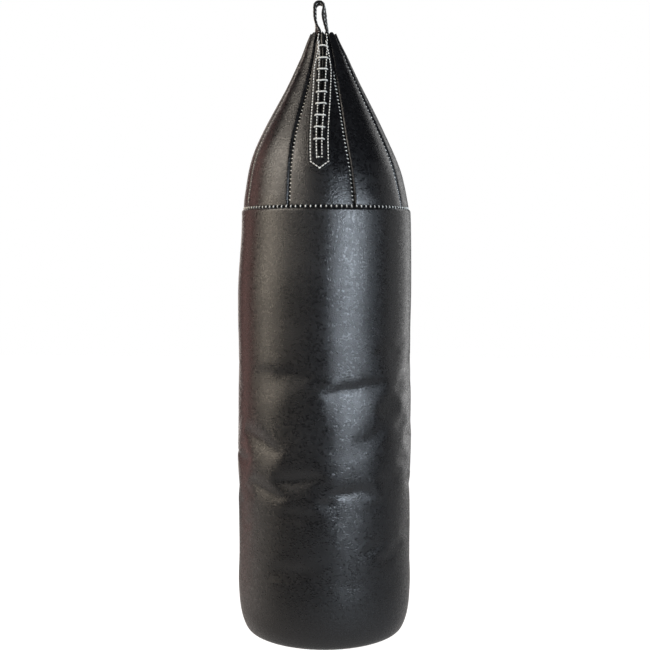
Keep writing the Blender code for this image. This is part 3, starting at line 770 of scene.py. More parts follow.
def petal_section(half, roll, turned_in, columns):
    """Across and depth of a petal's section: outside from left to right, then inside back."""
    sides = []
    inner_roll = max(roll - LEATHER, 0.0002)
    for reach, top, bend in ((half, 0.0, roll), (half - LEATHER, -LEATHER, inner_roll)):
        flat = reach - bend
        waist = (top - bend - turned_in) / 2
        side = [(-reach, -turned_in), (-reach, waist)]
        side += arc((-flat, top - bend), bend, math.pi, math.pi / 2, 5)
        side += [(across, top) for across in evenly(-flat, flat, columns)[1:-1]]
        side += arc((flat, top - bend), bend, math.pi / 2, 0.0, 5)
        side += [(reach, waist), (reach, -turned_in)]
        sides.append(side)
    return sides[0] + sides[1][::-1]


def petal_relief(across, level, number):
    """Small unevenness of one petal's stuffing: swells 45 mm across and 60 mm high."""
    spot = Vector((across * 22, level * 16, number * 3.7))
    return noise.noise(spot) * RELIEF


def make_petal(name, number):
    """One of the cone's gores: a puffed leather shell with its sides rolled into the seams."""
    middle = number * PETAL_ANGLE
    roll = settings().seam_roll
    loops = []
    for radius, level, normal, share in petal_rows():
        half = radius * PETAL_ANGLE / 2 - SEAM_OPENING / 2
        risen = smooth(share / 0.04)
        if share > 0:
            corner = max(PETAL_CORNER - (PETAL_TOP - level), 0.0)
            half -= PETAL_CORNER - math.sqrt(max(PETAL_CORNER ** 2 - corner ** 2, 0.0))
        edge = min(FOOT_ROLL + (roll - FOOT_ROLL) * risen, half * 0.45)
        turned_in = max(edge, LEATHER) + LEAST_FLANK
        if share >= 0:
            sewn = 1 - smooth((SIDE_SEAM_RADIUS + SIDE_SEAM_FADE / 2 - radius) / SIDE_SEAM_FADE)
            turned_in += (SEAM_ALLOWANCE - turned_in) * sewn
        loop = []
        for across, depth in petal_section(half, edge, turned_in, 22):
            lift = depth
            if share < 0:
                lift += puff(half, CONE_FOOT) * normal.x
            else:
                cover = 1 - smooth(abs(depth) / (roll + LEATHER) - 0.2)
                lift += puff(across, level)
                lift += petal_relief(across, level, number) * cover * risen * smooth((1 - share) / 0.2)
            loop.append(on_bag(radius + lift * normal.x, middle + across / radius, level + lift * normal.y))
        loops.append(loop)
    return lofted(name, loops, leather_faces(), two_faced=True)


def on_seam(seam, across, level, lift):
    """A point beside the seam at an angle from the front, where its stitches lie."""
    share = cone_share(level, 1)
    radius, _ = cone_point(share)
    normal = cone_normal(share)
    out = lift + puff(radius, level) - SEAM_STITCH_DEPTH
    return on_bag(radius + out * normal.x, seam + across / radius, level + out * normal.y)


def joined(parts):
    """All the parts as one object, under the first one's name."""
    pick(parts[0])
    for part in parts:
        part.select_set(True)
    bpy.ops.object.join()
    return bpy.context.object


def mark_wear(thing, worn):
    """Store how rubbed each corner is, from a function of its place."""
    attribute = thing.data.attributes.new("wear", "FLOAT", "POINT")
    for corner, value in zip(thing.data.vertices, attribute.data):
        value.value = worn(corner.co)


def seam_wear(place):
    """Petals are rubbed beside their seams and at the neck."""
    angle = math.atan2(place.x, -place.y) + PETAL_ANGLE / 2
    from_seam = abs((angle + PETAL_ANGLE / 2) % PETAL_ANGLE - PETAL_ANGLE / 2)
    distance = from_seam * math.hypot(place.x, place.y)
    return math.exp(-(distance / SEAM_WEAR_REACH) ** 2) * 0.9


# Lacing.

def bar_level(bar):
    """Height of a bar of the lace, counted from the top."""
    return PETAL_TOP - FIRST_BAR_DROP - bar * LACE_PITCH


def placket_half_width(level):
    """Half of the placket's width, which follows the petal at the neck and ends in a point."""
    radius = cone_point(cone_share(level, 1))[0]
    full = min(PLACKET_WIDTH / 2, radius * PETAL_ANGLE / 2 - PLACKET_MARGIN)
    above_tip = max(level - PLACKET_TIP, 0.0)
    return min(full, PLACKET_TIP_WIDTH / 2 + full * above_tip / PLACKET_POINT)


def slit_half_width(level):
    """Half of the slit's width: a narrow wedge that gapes above the first bar."""
    share = (level - SLIT_END) / (PETAL_TOP - SLIT_END)
    wedge = SLIT_END_WIDTH + (SLIT_TOP_WIDTH - SLIT_END_WIDTH) * min(max(share, 0.0), 1.0)
    mouth = smooth((level - bar_level(1)) / (PETAL_TOP - bar_level(1)))
    return (wedge + (SLIT_MOUTH - SLIT_TOP_WIDTH) * mouth) / 2


def slit_wedge():
    """Closed solid that opens the front petal along the slit."""
    above = 0.004
    reach = 0.012
    loops = []
    for level in evenly(PETAL_TOP + above, SLIT_END, 30):
        half = slit_half_width(level)
        inner = on_petal(-half, min(level, PETAL_TOP), -reach)
        outer = on_petal(-half, min(level, PETAL_TOP), reach)
        loops.append([Vector((side * half + lean(level), spot.y, spot.z + max(level - PETAL_TOP, 0.0)))
                      for side, spot in ((-1, inner), (1, inner), (1, outer), (-1, outer))])
    return lofted("slit_wedge", loops, [])


def hole_punches():
    """Closed solids that punch every lace hole."""
    punches = []
    for bar in range(LACE_BARS):
        for side in (-1, 1):
            middle = on_petal(side * LACE_REACH, bar_level(bar), 0.0)
            out = (on_petal(side * LACE_REACH, bar_level(bar), 0.001) - middle).normalized()
            deselect()
            bpy.ops.mesh.primitive_cylinder_add(
                vertices=14, radius=HOLE_DIAMETER / 2, depth=PUNCH_LENGTH)
            punch = bpy.context.object
            turn = out.to_track_quat("Z", "Y").to_matrix().to_4x4()
            punch.data.transform(Matrix.Translation(middle) @ turn)
            punches.append(punch)
    return joined(punches)


def cut_out(thing, cutter):
    """Take a cutter's volume out of a piece, and throw the cutter away."""
    hole = thing.modifiers.new("cut", "BOOLEAN")
    hole.operation = "DIFFERENCE"
    hole.solver = "EXACT"
    hole.object = cutter
    apply_modifiers(thing)
    bpy.data.objects.remove(cutter, do_unlink=True)


def stitch_dip(distance):
    """How far the leather is drawn down beside a row of stitches."""
    return STITCH_DIP * math.exp(-(distance / STITCH_DIP_REACH) ** 2)


def slit_row(level):
    """Distance from the slit's middle to the row of stitches beside it."""
    return min(slit_half_width(level) + SLIT_STITCH_INSET, placket_half_width(level) - LEAST_EDGE)


def placket_lift(across, level):
    """Height of the placket's outside over the petal: pinched at its stitches."""
    edge_row = placket_half_width(level) - OUTER_STITCH_INSET
    lift = 2 * GAP + PLACKET_THICKNESS - stitch_dip(abs(abs(across) - edge_row))
    if level > SLIT_END - 0.005:
        lift -= stitch_dip(abs(abs(across) - slit_row(level)))
    return lift


def on_placket(across, level, lift):
    """A point over the placket, where its stitches lie."""
    return on_petal(across, level, placket_lift(across, level) + STITCH_STAND + lift)


def make_placket():
    """Pointed leather facing on the front petal, slit down its middle and punched for the lace."""
    rows = 130
    side_columns = 17
    points = []
    for level in evenly(PLACKET_TIP, PLACKET_TOP, rows):
        half = placket_half_width(level)
        spread = evenly(min(slit_half_width(level), half * 0.5), half, side_columns)
        for across in [-value for value in spread[::-1]] + spread:
            points.append(on_petal(across, level, placket_lift(across, level)))
    width = 2 * (side_columns + 1)
    faces = []
    for row in range(rows):
        level = PLACKET_TIP + (PLACKET_TOP - PLACKET_TIP) * (row + 0.5) / rows
        for column in range(width - 1):
            if column == side_columns and level > SLIT_END:
                continue
            near = row * width + column
            faces.append((near, near + 1, near + width + 1, near + width))
    placket = add_piece("laced_placket", points, faces, *leather_faces())
    wall = placket.modifiers.new("thickness", "SOLIDIFY")
    wall.thickness = PLACKET_THICKNESS
    wall.offset = -1.0
    edge = placket.modifiers.new("edge", "BEVEL")
    edge.width = 0.0003
    edge.segments = 2
    edge.angle_limit = math.radians(60)
    apply_modifiers(placket)
    return placket


def lace_points():
    """Route of the lace: a bar outside, a run up inside, and back with the next bar."""
    size = settings().lace_size
    outside = 2 * GAP + PLACKET_THICKNESS + size / 2
    inside = -LEATHER - GAP - FACET_SAG - size / 2
    ease = size / 3
    points = []
    side = -1
    for bar in reversed(range(LACE_BARS)):
        level = bar_level(bar)
        tilt = BAR_TILT * noise.noise(Vector((bar * 2.3, 0.4, 0.0)))
        slack = TOP_BAR_SLACK if bar == 0 else 0.0
        for end, ahead in ((side, -1), (-side, 1)):
            at = end * LACE_REACH
            corner = [on_petal(at, level + ahead * ease, inside), on_petal(at, level, inside + ease),
                      on_petal(at, level, outside - ease), on_petal(at - end * ease, level, outside)]
            points += corner if end == side else corner[::-1]
            if end == side:
                points += [on_petal(at / 2, level + slack * 0.7 + tilt, outside),
                           on_petal(0.0, level + slack, outside + 0.0002),
                           on_petal(-at / 2, level + slack * 0.7 - tilt, outside)]
        side = -side
    return points


def make_lace():
    """Braided cord through all the holes."""
    route = lace_points()
    dense = []
    for start, end in zip(route, route[1:]):
        steps = max(int((end - start).length / LACE_STEP), 1)
        dense += [start.lerp(end, step / steps) for step in range(steps)]
    dense.append(route[-1])
    for _ in range(2):
        dense = [dense[0]] + [(before + 2 * here + after) / 4
                              for before, here, after in zip(dense, dense[1:], dense[2:])] + [dense[-1]]
    return swept_cord("braided_lace", dense, settings().lace_size, finish_named("braided_cotton"))


def swept_cord(name, route, size, material):
    """Round cord along a dense route, with strand bumps and a UV map that follows its length."""
    sides = 12
    loops = []
    lengths = [0.0]
    across = Vector((1.0, 0.0, 0.0))
    for index, place in enumerate(route):
        ahead = (route[min(index + 1, len(route) - 1)] - route[max(index - 1, 0)]).normalized()
        across = (across - ahead * across.dot(ahead)).normalized()
        over = ahead.cross(across)
        if index:
            lengths.append(lengths[-1] + (place - route[index - 1]).length)
        ring = []
        for angle in round_about(sides):
            turn = lengths[-1] * BRAID_TURN
            weave = math.cos(4 * angle + turn) * math.cos(4 * angle - turn)
            reach = size / 2 * (0.96 + 0.06 * weave)
            ring.append(place + (across * math.cos(angle) + over * math.sin(angle)) * reach)
        loops.append(ring)
    cord = lofted(name, loops, [material])
    layer = cord.data.uv_layers.new(name="length")
    for loop in cord.data.loops:
        row, side = divmod(loop.vertex_index, sides)
        layer.data[loop.index].uv = (side * 8 / sides, lengths[row] / STRAND_PITCH)
    cord.data.shade_smooth()
    return cord


def tongue_crown(level):
    """How far the tongue swells out of the slit at a height."""
    above_bars = smooth((level - bar_level(4)) / (bar_level(1) - bar_level(4)))
    crown = LOW_CROWN + (HIGH_CROWN - LOW_CROWN) * above_bars
    crown += MOUTH_CROWN * smooth((level - bar_level(0) - 0.003) / 0.012)
    return crown + 0.0006 * noise.noise(Vector((0.0, 0.0, level * 120)))


def make_tongue():
    """Glazed strip behind the slit: round at its top, and ridged down its middle."""
    half = LACE_REACH - settings().lace_size / 2 - GAP
    loops = []
    for level in evenly(TONGUE_FOOT, TONGUE_TOP, 90):
        crown = tongue_crown(level)
        below_top = TONGUE_TOP - level
        narrow = math.sqrt(max(1 - (max(half - below_top, 0.0) / half) ** 2, 0.004))
        open_share = min(slit_half_width(level) / half, 0.95)
        outer = []
        inner = []
        for share in evenly(-1, 1, 14):
            spread = min(abs(share) / open_share, 1.0)
            ridge = 1.16 - math.sqrt(1.32 * spread ** 2 + 0.0256)
            rise = crown * (0.6 * (1 - spread ** 6) + 0.4 * ridge)
            lift = -LEATHER - GAP - FACET_SAG + rise
            outer.append(on_petal(share * half * narrow, level, lift))
            inner.append(on_petal(share * half * narrow, level, lift - TONGUE_THICKNESS))
        loops.append(outer + inner[::-1])
    return lofted("glazed_tongue", loops, leather_faces("glazed_leather"), two_faced=True)


# Body.

def settle(level):
    """Share of the body's bulge at a height: rolls of packed rags between its two ends."""
    share = (SHOULDER - level) / (SHOULDER - BODY_FOOT)
    ends = smooth(share / 0.22) * smooth((1 - share) / 0.12)
    count = 2.35
    rolls = 0.82 + 0.18 * math.cos(share * 2 * math.pi * count - 1.9)
    return ends * rolls


# Creases where the rags have settled: angle from the front, drop below the shoulder, half
# length, half height above and below the crease, depth as a share of the dent depth, rise over
# the length, and how much taller the lower slope is at the left end than in the middle.
CREASES = (
    (-0.50, 0.253, 0.046, 0.0120, 0.0240, 1.25, 0.00, 0.50),
    (-0.73, 0.357, 0.034, 0.0145, 0.0175, 1.15, -0.34, 0.00),
    (-0.24, 0.412, 0.036, 0.0130, 0.0190, 0.75, 0.06, -0.25),
    (-0.63, 0.430, 0.028, 0.0100, 0.0140, 0.90, -0.30, 0.00),
    (-0.24, 0.464, 0.026, 0.0100, 0.0120, 0.80, 0.00, 0.00),
    (-0.33, 0.550, 0.034, 0.0110, 0.0140, 1.00, 0.04, 0.00),
    (0.44, 0.273, 0.044, 0.0100, 0.0260, 1.25, 0.12, 0.35),
    (0.54, 0.351, 0.030, 0.0130, 0.0170, 0.50, 0.25, 0.00),
    (0.35, 0.372, 0.028, 0.0100, 0.0150, 0.20, 0.00, 0.00),
    (0.38, 0.430, 0.034, 0.0130, 0.0200, 0.36, 0.08, 0.00),
    (2.08, 0.290, 0.045, 0.0120, 0.0200, 1.10, -0.10, 0.30),
    (2.15, 0.420, 0.045, 0.0120, 0.0200, 1.00, 0.12, 0.00),
    (-2.05, 0.270, 0.048, 0.0120, 0.0220, 1.10, 0.10, 0.30),
    (-2.00, 0.400, 0.042, 0.0120, 0.0180, 1.00, -0.12, 0.00),
    (2.75, 0.350, 0.050, 0.0120, 0.0220, 1.00, 0.08, 0.00),
    (-2.75, 0.450, 0.055, 0.0120, 0.0220, 1.00, -0.08, 0.00),
)


def creases(angle, level):
    """Depth of the level creases at a spot of the body's wall, as a share of the dent depth."""
    depth = 0.0
    for middle, drop, half_length, above, below, share, rise, slant in CREASES:
        across = math.remainder(angle - middle, 2 * math.pi) * BODY_RADIUS
        if abs(across) > 2.5 * half_length:
            continue
        up = level - (SHOULDER - drop) - rise * across
        height = above if up > 0 else below * max(1 - slant * across / half_length, 0.3)
        depth += share * math.exp(-(across / half_length) ** 4 - (up / height) ** 2)
    return depth


def lumps(angle, level):
    """Uneven packing of the rags, in shares of the dent depth."""
    share = (SHOULDER - level) / (SHOULDER - BODY_FOOT)
    reach = smooth((share - 0.10) / 0.25) * smooth((1 - share) / 0.18)
    around = Vector((math.sin(angle), -math.cos(angle), 0.0))
    # Wide lumps stand 67 mm apart up the wall, small ones 31 mm.
    wide = noise.noise(Vector((around.x * 1.6, around.y * 1.6, level * 15.0)))
    small = noise.noise(Vector((around.x * 3.4 + 7.0, around.y * 3.4, level * 32.0)))
    return reach * (wide * 0.55 + small * 0.18)


# Supple leather with the rags' even pressure behind it, held where it is sewn.
WALL_CLOTH = {
    "quality": 4,
    "mass": 0.5,
    "tension_stiffness": 40,
    "compression_stiffness": 40,
    "shear_stiffness": 12,
    "bending_stiffness": 2.0,
    "vertex_group_mass": "sewn",
    "shrink_min": -WALL_SLACK,
    "use_pressure": True,
    "uniform_pressure_force": 4.0,
}


@functools.lru_cache(maxsize=1)
def stuffed_wall(bulge, dent_depth):
    """Rows of how far the stuffed leather stands out of a straight wall, from the foot up.

    The wall is sewn fast at both ends, and a cloth simulation with a little slack in the
    leather and the rags' pressure behind it turns the lumps and creases into soft folds.
    """
    rows = []
    start = []
    for level in evenly(BODY_FOOT, SHOULDER, WALL_ROWS):
        rows.append([])
        for angle in round_about(WALL_COLUMNS):
            push = bulge * settle(level) + dent_depth * (lumps(angle, level) - creases(angle, level))
            rows[-1].append(push)
            start.append(polar(BODY_RADIUS + push, angle, level))
    faces = []
    for row in range(WALL_ROWS):
        for column in range(WALL_COLUMNS):
            near = row * WALL_COLUMNS + column
            after = row * WALL_COLUMNS + (column + 1) % WALL_COLUMNS
            faces.append((near, after, after + WALL_COLUMNS, near + WALL_COLUMNS))
    wall = add_piece("wall_trial", start, faces)
    held = wall.vertex_groups.new(name=WALL_CLOTH["vertex_group_mass"])
    for index, place in enumerate(start):
        from_end = min(SHOULDER - place.z, place.z - BODY_FOOT)
        held.add([index], 1 - smooth(from_end / 0.030), "REPLACE")
    cloth = wall.modifiers.new("cloth", "CLOTH")
    for name, value in WALL_CLOTH.items():
        setattr(cloth.settings, name, value)
    cloth.settings.effector_weights.gravity = 0.0
    cloth.collision_settings.use_collision = False
    scene = bpy.context.scene
    for step in range(1, 21):
        scene.frame_set(step)
    settled = wall.evaluated_get(bpy.context.evaluated_depsgraph_get()).data
    reach = [math.hypot(point.co.x, point.co.y) for point in settled.vertices]
    for row in range(WALL_ROWS + 1):
        for column in range(WALL_COLUMNS):
            moved = reach[row * WALL_COLUMNS + column] - BODY_RADIUS - rows[row][column]
            rows[row][column] += max(min(moved, WALL_MOVE), -WALL_MOVE)
    scene.frame_set(1)
    bpy.data.objects.remove(wall, do_unlink=True)
    return rows


def body_skin(radius, angle, level):
    """Radius of the stuffed body's outside where a straight wall would have the given radius."""
    own = settings()
    rows = stuffed_wall(own.body_bulge, own.dent_depth)
    up = min(max((level - BODY_FOOT) / (SHOULDER - BODY_FOOT), 0.0), 1.0) * WALL_ROWS
    row = min(int(up), WALL_ROWS - 1)
    around = angle / (2 * math.pi) % 1.0 * WALL_COLUMNS
    column = int(around) % WALL_COLUMNS
    after = (column + 1) % WALL_COLUMNS
    low, high = [row_of[column] + (row_of[after] - row_of[column]) * (around - int(around))
                 for row_of in rows[row:row + 2]]
    ends = smooth((SHOULDER - level) / 0.02) * smooth((level - BODY_FOOT) / 0.02)
    return radius + (low + (high - low) * (up - row)) * ends


def body_corner(steps):
    """Outside of the body where it draws in towards the base, from the bottom up."""
    turn = arc((0.0, 0.0), 1.0, -math.pi / 2, 0.0, steps)
    return [(BODY_RADIUS + CORNER_REACH * (across - 1), BODY_FOOT + CORNER_RISE * (1 + up))
            for across, up in turn]


def body_profile():
    """Outside of the body panel, from its turned-up lower edge to its turned-in upper edge."""
    inner = WELT_RADIUS + GAP
    top = SHOULDER - GAP / 2
    fold_middle = (inner + FOLD_RADIUS, BODY_FOOT + FOLD_RADIUS)
    path = line((inner, BASE_FOLD_TOP), (inner, fold_middle[1]), 2)
    path += arc(fold_middle, FOLD_RADIUS, math.pi, 1.5 * math.pi, 6)
    path += body_corner(14)[1:]
    wall_top = top - BODY_LIP
    path += line((BODY_RADIUS, BODY_FOOT + CORNER_RISE), (BODY_RADIUS, wall_top), 130)[1:]
    path += arc((BODY_RADIUS - BODY_LIP, wall_top), BODY_LIP, 0.0, math.pi / 2, 6)
    path += [(SHOULDER_RADIUS - SEAM_ALLOWANCE, top)]
    return path


def make_body():
    """Single sheet of leather round the body, butted together at the back."""
    outside = body_profile()
    inside = shifted(outside, LEATHER)
    columns = 168
    slack = BACK_JOINT / BODY_RADIUS
    loops = []
    for column in range(columns + 1):
        angle = math.pi + slack / 2 + (2 * math.pi - slack) * column / columns
        edge = min(column, columns - column)
        tuck = BACK_TUCK * math.exp(-(edge / BACK_TUCK_COLUMNS) ** 2)
        outer = []
        inner = []
        for (radius, level), (wall, wall_level) in zip(outside, inside):
            pushed = body_skin(radius, angle, level) - radius
            outer.append(on_bag(radius + pushed - tuck, angle, level))
            inner.append(on_bag(wall + pushed - tuck, angle, wall_level))
        loops.append(outer + inner[::-1])
    return lofted("leather_body", loops, leather_faces(), two_faced=True)


def on_back(across, level, lift):
    """A point over the body's leather, where the stitches beside its back joint lie."""
    angle = math.pi + across / BODY_RADIUS
    radius = body_skin(BODY_RADIUS, angle, level)
    return on_bag(radius + lift + 0.0001, angle, level)


def let_down(thing):
    """Let the body's lower corner hang a little lower, as the rags' weight draws it."""
    for point in thing.data.vertices:
        point.co.z -= FOOT_SAG * smooth((BODY_FOOT + 0.05 - point.co.z) / 0.05)


def add_lowered(*rows):
    """Make each piece of the lower body and let it down, from (function, node, slot) rows; the slot is not
    used.
    """
    for make, node, slot in rows:
        piece = make()
        let_down(piece)
        hand_over(piece, node)


def lip_wear(place):
    """The body is rubbed along its upper lip and its lower fold."""
    lip, fold = [math.exp(-((place.z - level) / LIP_WEAR_REACH) ** 2) for level in (SHOULDER, BODY_FOOT)]
    return max(lip, fold) * 0.8


# Base.

def turned(name, profile, columns, materials, relief=None):
    """Closed skin of a (radius, level) profile turned about the Z axis, shifted by a relief."""
    loops = []
    for angle in round_about(columns):
        loop = []
        for radius, level in profile:
            out, up = relief(radius, angle, level) if relief and radius > 0 else (0.0, 0.0)
            loop.append(on_bag(radius + out, angle, level + up))
        loops.append(loop)
    return lofted(name, loops, materials, closed=True)


def make_base():
    """Leather disc that closes the bag: its rim is turned up inside the welt."""
    rim = arc((BASE_RADIUS - FOLD_RADIUS, BASE + FOLD_RADIUS), FOLD_RADIUS, -math.pi / 2, 0.0, 6)
    bottom = line((0.0, BASE), rim[0], 26)
    profile = bottom + rim + [(BASE_RADIUS, BASE_FOLD_TOP), (BASE_RADIUS - LEATHER, BASE_FOLD_TOP)]
    inner = arc((BASE_RADIUS - FOLD_RADIUS, BASE + FOLD_RADIUS), FOLD_RADIUS - LEATHER, 0.0, -math.pi / 2, 4)
    profile += inner + line((BASE_RADIUS - FOLD_RADIUS, BASE + LEATHER), (0.0, BASE + LEATHER), 12)[1:]
    profile.append((0.0, BASE + LEATHER))

    def puckers(radius, angle, level):
        """Gathers near the rim, and a soft unevenness inside it."""
        near_rim = math.exp(-((radius - BASE_RADIUS + 0.010) / 0.008) ** 2)
        inside = smooth((BASE_RADIUS - radius) / 0.02)
        spot = Vector((math.sin(angle), math.cos(angle), 0.0)) * radius * 30
        gathers = GATHER_DEPTH * near_rim * (1 + math.sin(angle * GATHERS)) / 2
        return 0.0, gathers + BASE_RELIEF * (1 + noise.noise(spot)) * inside

    return turned("leather_base", profile, 232, [finish_named("pebbled_cowhide")], puckers)


def make_welt():
    """Strip of leather caught in the base seam, with a rounded lip."""
    near = BASE_RADIUS + GAP
    middle = (near + WELT_RADIUS) / 2
    reach = (WELT_RADIUS - near) / 2
    lip = arc((middle, WELT_FOOT + reach), reach, -math.pi, 0.0, 8)
    profile = lip + [(WELT_RADIUS, BASE_FOLD_TOP), (near, BASE_FOLD_TOP)]
    return turned("base_welt_strip", profile, 160, [finish_named("bridle_leather")])


# Strap.

def arch_path():
    """Middle line of the loop, from the lower end of its left side to that of its right side."""
    crown = (0.0, STRAP_THICKNESS / 2 - LEG_MIDDLE)
    left = line((-LEG_MIDDLE, STRAP_SPLIT), (-LEG_MIDDLE, crown[1]), 12)
    right = line((LEG_MIDDLE, crown[1]), (LEG_MIDDLE, STRAP_SPLIT), 12)
    return left + arc(crown, LEG_MIDDLE, math.pi, 0.0, 22)[:-1] + right + [(LEG_MIDDLE, STRAP_SPLIT)]


def tail_path(side):
    """Middle line of one leg: down from the loop, round the ring's wire and back to itself."""
    centre = (RING_MIDDLE, RING_LEVEL)
    wrap = arc(centre, WRAP_RADIUS, math.pi, 2 * math.pi + RETURN_ANGLE, 26)
    lap = LEG_MIDDLE + STRAP_THICKNESS + GAP
    meet = wrap[-1][1] + (wrap[-1][0] - lap) / math.tan(RETURN_ANGLE)
    path = line((LEG_MIDDLE, STRAP_SPLIT), wrap[0], LEG_STEPS) + wrap
    path += line(wrap[-1], (lap, meet), 5)[1:] + [(lap, meet), (lap, meet + RETURN_LAP)]
    return [(side * across, level) for across, level in path]


def ply_section(near, far):
    """Closed (offset, along Y) section of one ply, with burnished round edges."""
    half = STRAP_WIDTH / 2
    middle = (near + far) / 2
    reach = (far - near) / 2
    section = arc((middle, half - reach), reach, 0.0, math.pi, 8)
    body = [(near, half - reach - (STRAP_WIDTH - 2 * reach) * step / 6) for step in range(1, 6)]
    lower = [(-across + 2 * middle, -along) for across, along in section]
    return section + body + lower + [(far, -along) for _, along in body]


def strap_turn(spot):
    """The loop leans to -X and turns its right side's face forward; its left leg twists low down."""
    rise = smooth((spot.z + 0.056) / 0.040)
    below_arch = smooth((ARCH_FOOT - spot.z) / 0.014)
    side = math.copysign(1.0, spot.x)
    axis = Vector((side * LEG_MIDDLE, 0.0, 0.0))
    turn = RIGHT_TURN * below_arch * rise
    if side < 0:
        turn = LEFT_TWIST * math.exp(-((spot.z - TWIST_LEVEL) / TWIST_REACH) ** 2)
    flat = Matrix.Rotation(turn, 3, "Z") @ (Vector((spot.x, spot.y, 0.0)) - axis)
    if abs(spot.x) > LEG_MIDDLE - STRAP_THICKNESS and spot.z < ARCH_FOOT:
        spot = Vector((axis.x + flat.x, flat.y, spot.z))
    return Vector((spot.x * (1 + LOOP_OPENING * rise) - LOOP_LEAN * rise, spot.y, spot.z))


def make_strap(name, path):
    """Two plies of strap leather face to face along a path in the XZ plane."""
    plies = []
    for near, far in ((GAP / 2, STRAP_THICKNESS / 2), (-STRAP_THICKNESS / 2, -GAP / 2)):
        edges = []
        for offset, along in ply_section(near, far):
            edges.append([Vector((across, along, level)) for across, level in shifted(path, offset)])
        rings = [[strap_turn(edge[index]) for edge in edges] for index in range(len(path))]
        plies.append(lofted(name, rings, [finish_named("bridle_leather")]))
    strap = joined(plies)
    soften(strap, 50)
    return strap


def strap_stitches(path, pitch):
    """Placements of the rows of stitches near the strap's edges, on both its faces."""
    places = []
    row = STRAP_WIDTH / 2 - STRAP_STITCH_INSET
    for face in (1, -1):
        skin = shifted(path, face * STRAP_THICKNESS / 2)
        surface = [Vector((across, 0.0, level)) for across, level in skin]
        walked = pitch / 2
        for start, end in zip(surface, surface[1:]):
            step = end - start
            while walked <= step.length:
                spot = start + step.normalized() * walked
                out = Vector((-step.z, 0.0, step.x)) * face
                for along in (-row, row):
                    place = strap_turn(spot + Vector((0.0, along, 0.0)))
                    places.append(placement(place, step, out.normalized()))
                walked += pitch
            walked -= step.length
    return places


# Neck.

def make_stuffing():
    """Rags packed into the cone, crumpled where they show inside the neck."""
    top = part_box("neck_filling")[1].z
    inset = SEAM_PULL + LEATHER + SEAM_ALLOWANCE + 2 * GAP
    above_seam = SHOULDER + 0.012
    wall = [(SHOULDER_RADIUS - SEAM_ALLOWANCE - 0.003, SHOULDER + GAP)]
    for share in evenly(cone_share(above_seam, 1), cone_share(top, 1), 40):
        radius, level = cone_point(share)
        wall.append((radius - inset, level))
    cap = line((wall[-1][0], top), (0.0, top), 10)[1:]
    profile = [(0.0, SHOULDER + GAP)] + wall + cap + [(0.0, top)]

    def crumple(radius, angle, level):
        """Folds of rag on the top of the stuffing only."""
        if level < top - 0.004:
            return 0.0, 0.0
        spot = Vector((math.sin(angle) * radius, math.cos(angle) * radius, 0.0)) * 160
        folds = RAG_FOLDS * (1 + noise.noise(spot)) / 2
        return 0.0, -folds - RAG_CREASES * abs(noise.noise(spot * 2.7))

    return turned("rag_stuffing", profile, 72, [finish_named("cotton_rags")], crumple)


# Inside the body.

def wall_inside(inset, bottom, steps):
    """(radius, level) down the inside of the body's leather, from a flat bottom up the wall."""
    corner = body_corner(12)
    top = SHOULDER - GAP / 2 - BODY_LIP - inset
    straight = line((BODY_RADIUS, corner[-1][1]), (BODY_RADIUS, top), steps)[1:]
    wall = shifted(corner + straight + [(BODY_RADIUS, top)], LEATHER + inset)
    above = [point for point in wall if point[1] > bottom]
    below = wall[len(wall) - len(above) - 1]
    share = (bottom - below[1]) / (above[0][1] - below[1])
    return [(below[0] + (above[0][0] - below[0]) * share, bottom)] + above


def with_body(radius, angle, level):
    """Shift that keeps an inner layer against the pushed-out leather and inside the back tape."""
    near_wall = smooth((radius - BODY_RADIUS + 0.030) / 0.015)
    behind = 1 - smooth((abs(angle - math.pi) * BODY_RADIUS - TAPE_WIDTH / 2) / 0.004)
    pushed = body_skin(BODY_RADIUS, angle, level) - BODY_RADIUS
    return (pushed - (TAPE_THICKNESS + GAP) * behind) * near_wall, 0.0


def make_lining():
    """Canvas cup between the leather and the rags."""
    bottom = BASE_FOLD_TOP + GAP
    outer = wall_inside(2 * GAP, bottom, 44)
    inner = wall_inside(2 * GAP + LINING_THICKNESS, bottom + LINING_THICKNESS, 44)
    profile = [(0.0, bottom)] + outer + [(inner[-1][0], outer[-1][1])] + inner[-2::-1]
    profile.append((0.0, bottom + LINING_THICKNESS))
    return turned("canvas_cup", profile, 96, [finish_named("cotton_canvas")], with_body)


def make_rags():
    """Packed rags that fill the body, with a step up through the shoulder seam's ring of leather."""
    inset = 3 * GAP + LINING_THICKNESS
    wall = wall_inside(inset, BASE_FOLD_TOP + inset, 44)
    neck = SHOULDER_RADIUS - SEAM_ALLOWANCE - 0.004
    step = [(neck, wall[-1][1]), (neck, SHOULDER - GAP), (0.0, SHOULDER - GAP)]
    profile = [(0.0, wall[0][1])] + wall + step
    return turned("packed_rag_core", profile, 96, [finish_named("cotton_rags")], with_body)


def make_pad():
    """Felt disc in the turned-up rim of the base, its edge rounded by the die."""
    edge = 0.0015
    above_base = 0.0015
    radius = BASE_RADIUS - FOLD_RADIUS - GAP
    low = BASE + LEATHER + above_base
    high = BASE_FOLD_TOP - GAP
    profile = [(0.0, low), (radius - edge, low), (radius, low + edge), (radius, high - edge),
               (radius - edge, high), (0.0, high)]
    return turned("felt_disc", profile, 96, [finish_named("pressed_felt")])


def make_tape():
    """Strip of leather sewn inside over the body's butted edges."""
    loops = []
    for level in evenly(BODY_FOOT + CORNER_RISE, SHOULDER - GAP - 2 * BODY_LIP, 60):
        outer = []
        inner = []
        for share in evenly(-0.5, 0.5, 6):
            angle = math.pi + TAPE_WIDTH / BODY_RADIUS * share
            wall = body_skin(BODY_RADIUS, angle, level) - LEATHER - GAP
            outer.append(on_bag(wall, angle, level))
            inner.append(on_bag(wall - TAPE_THICKNESS, angle, level))
        loops.append(outer + inner[::-1])
    return lofted("joint_tape", loops, [finish_named("bridle_leather")])


# Stage.

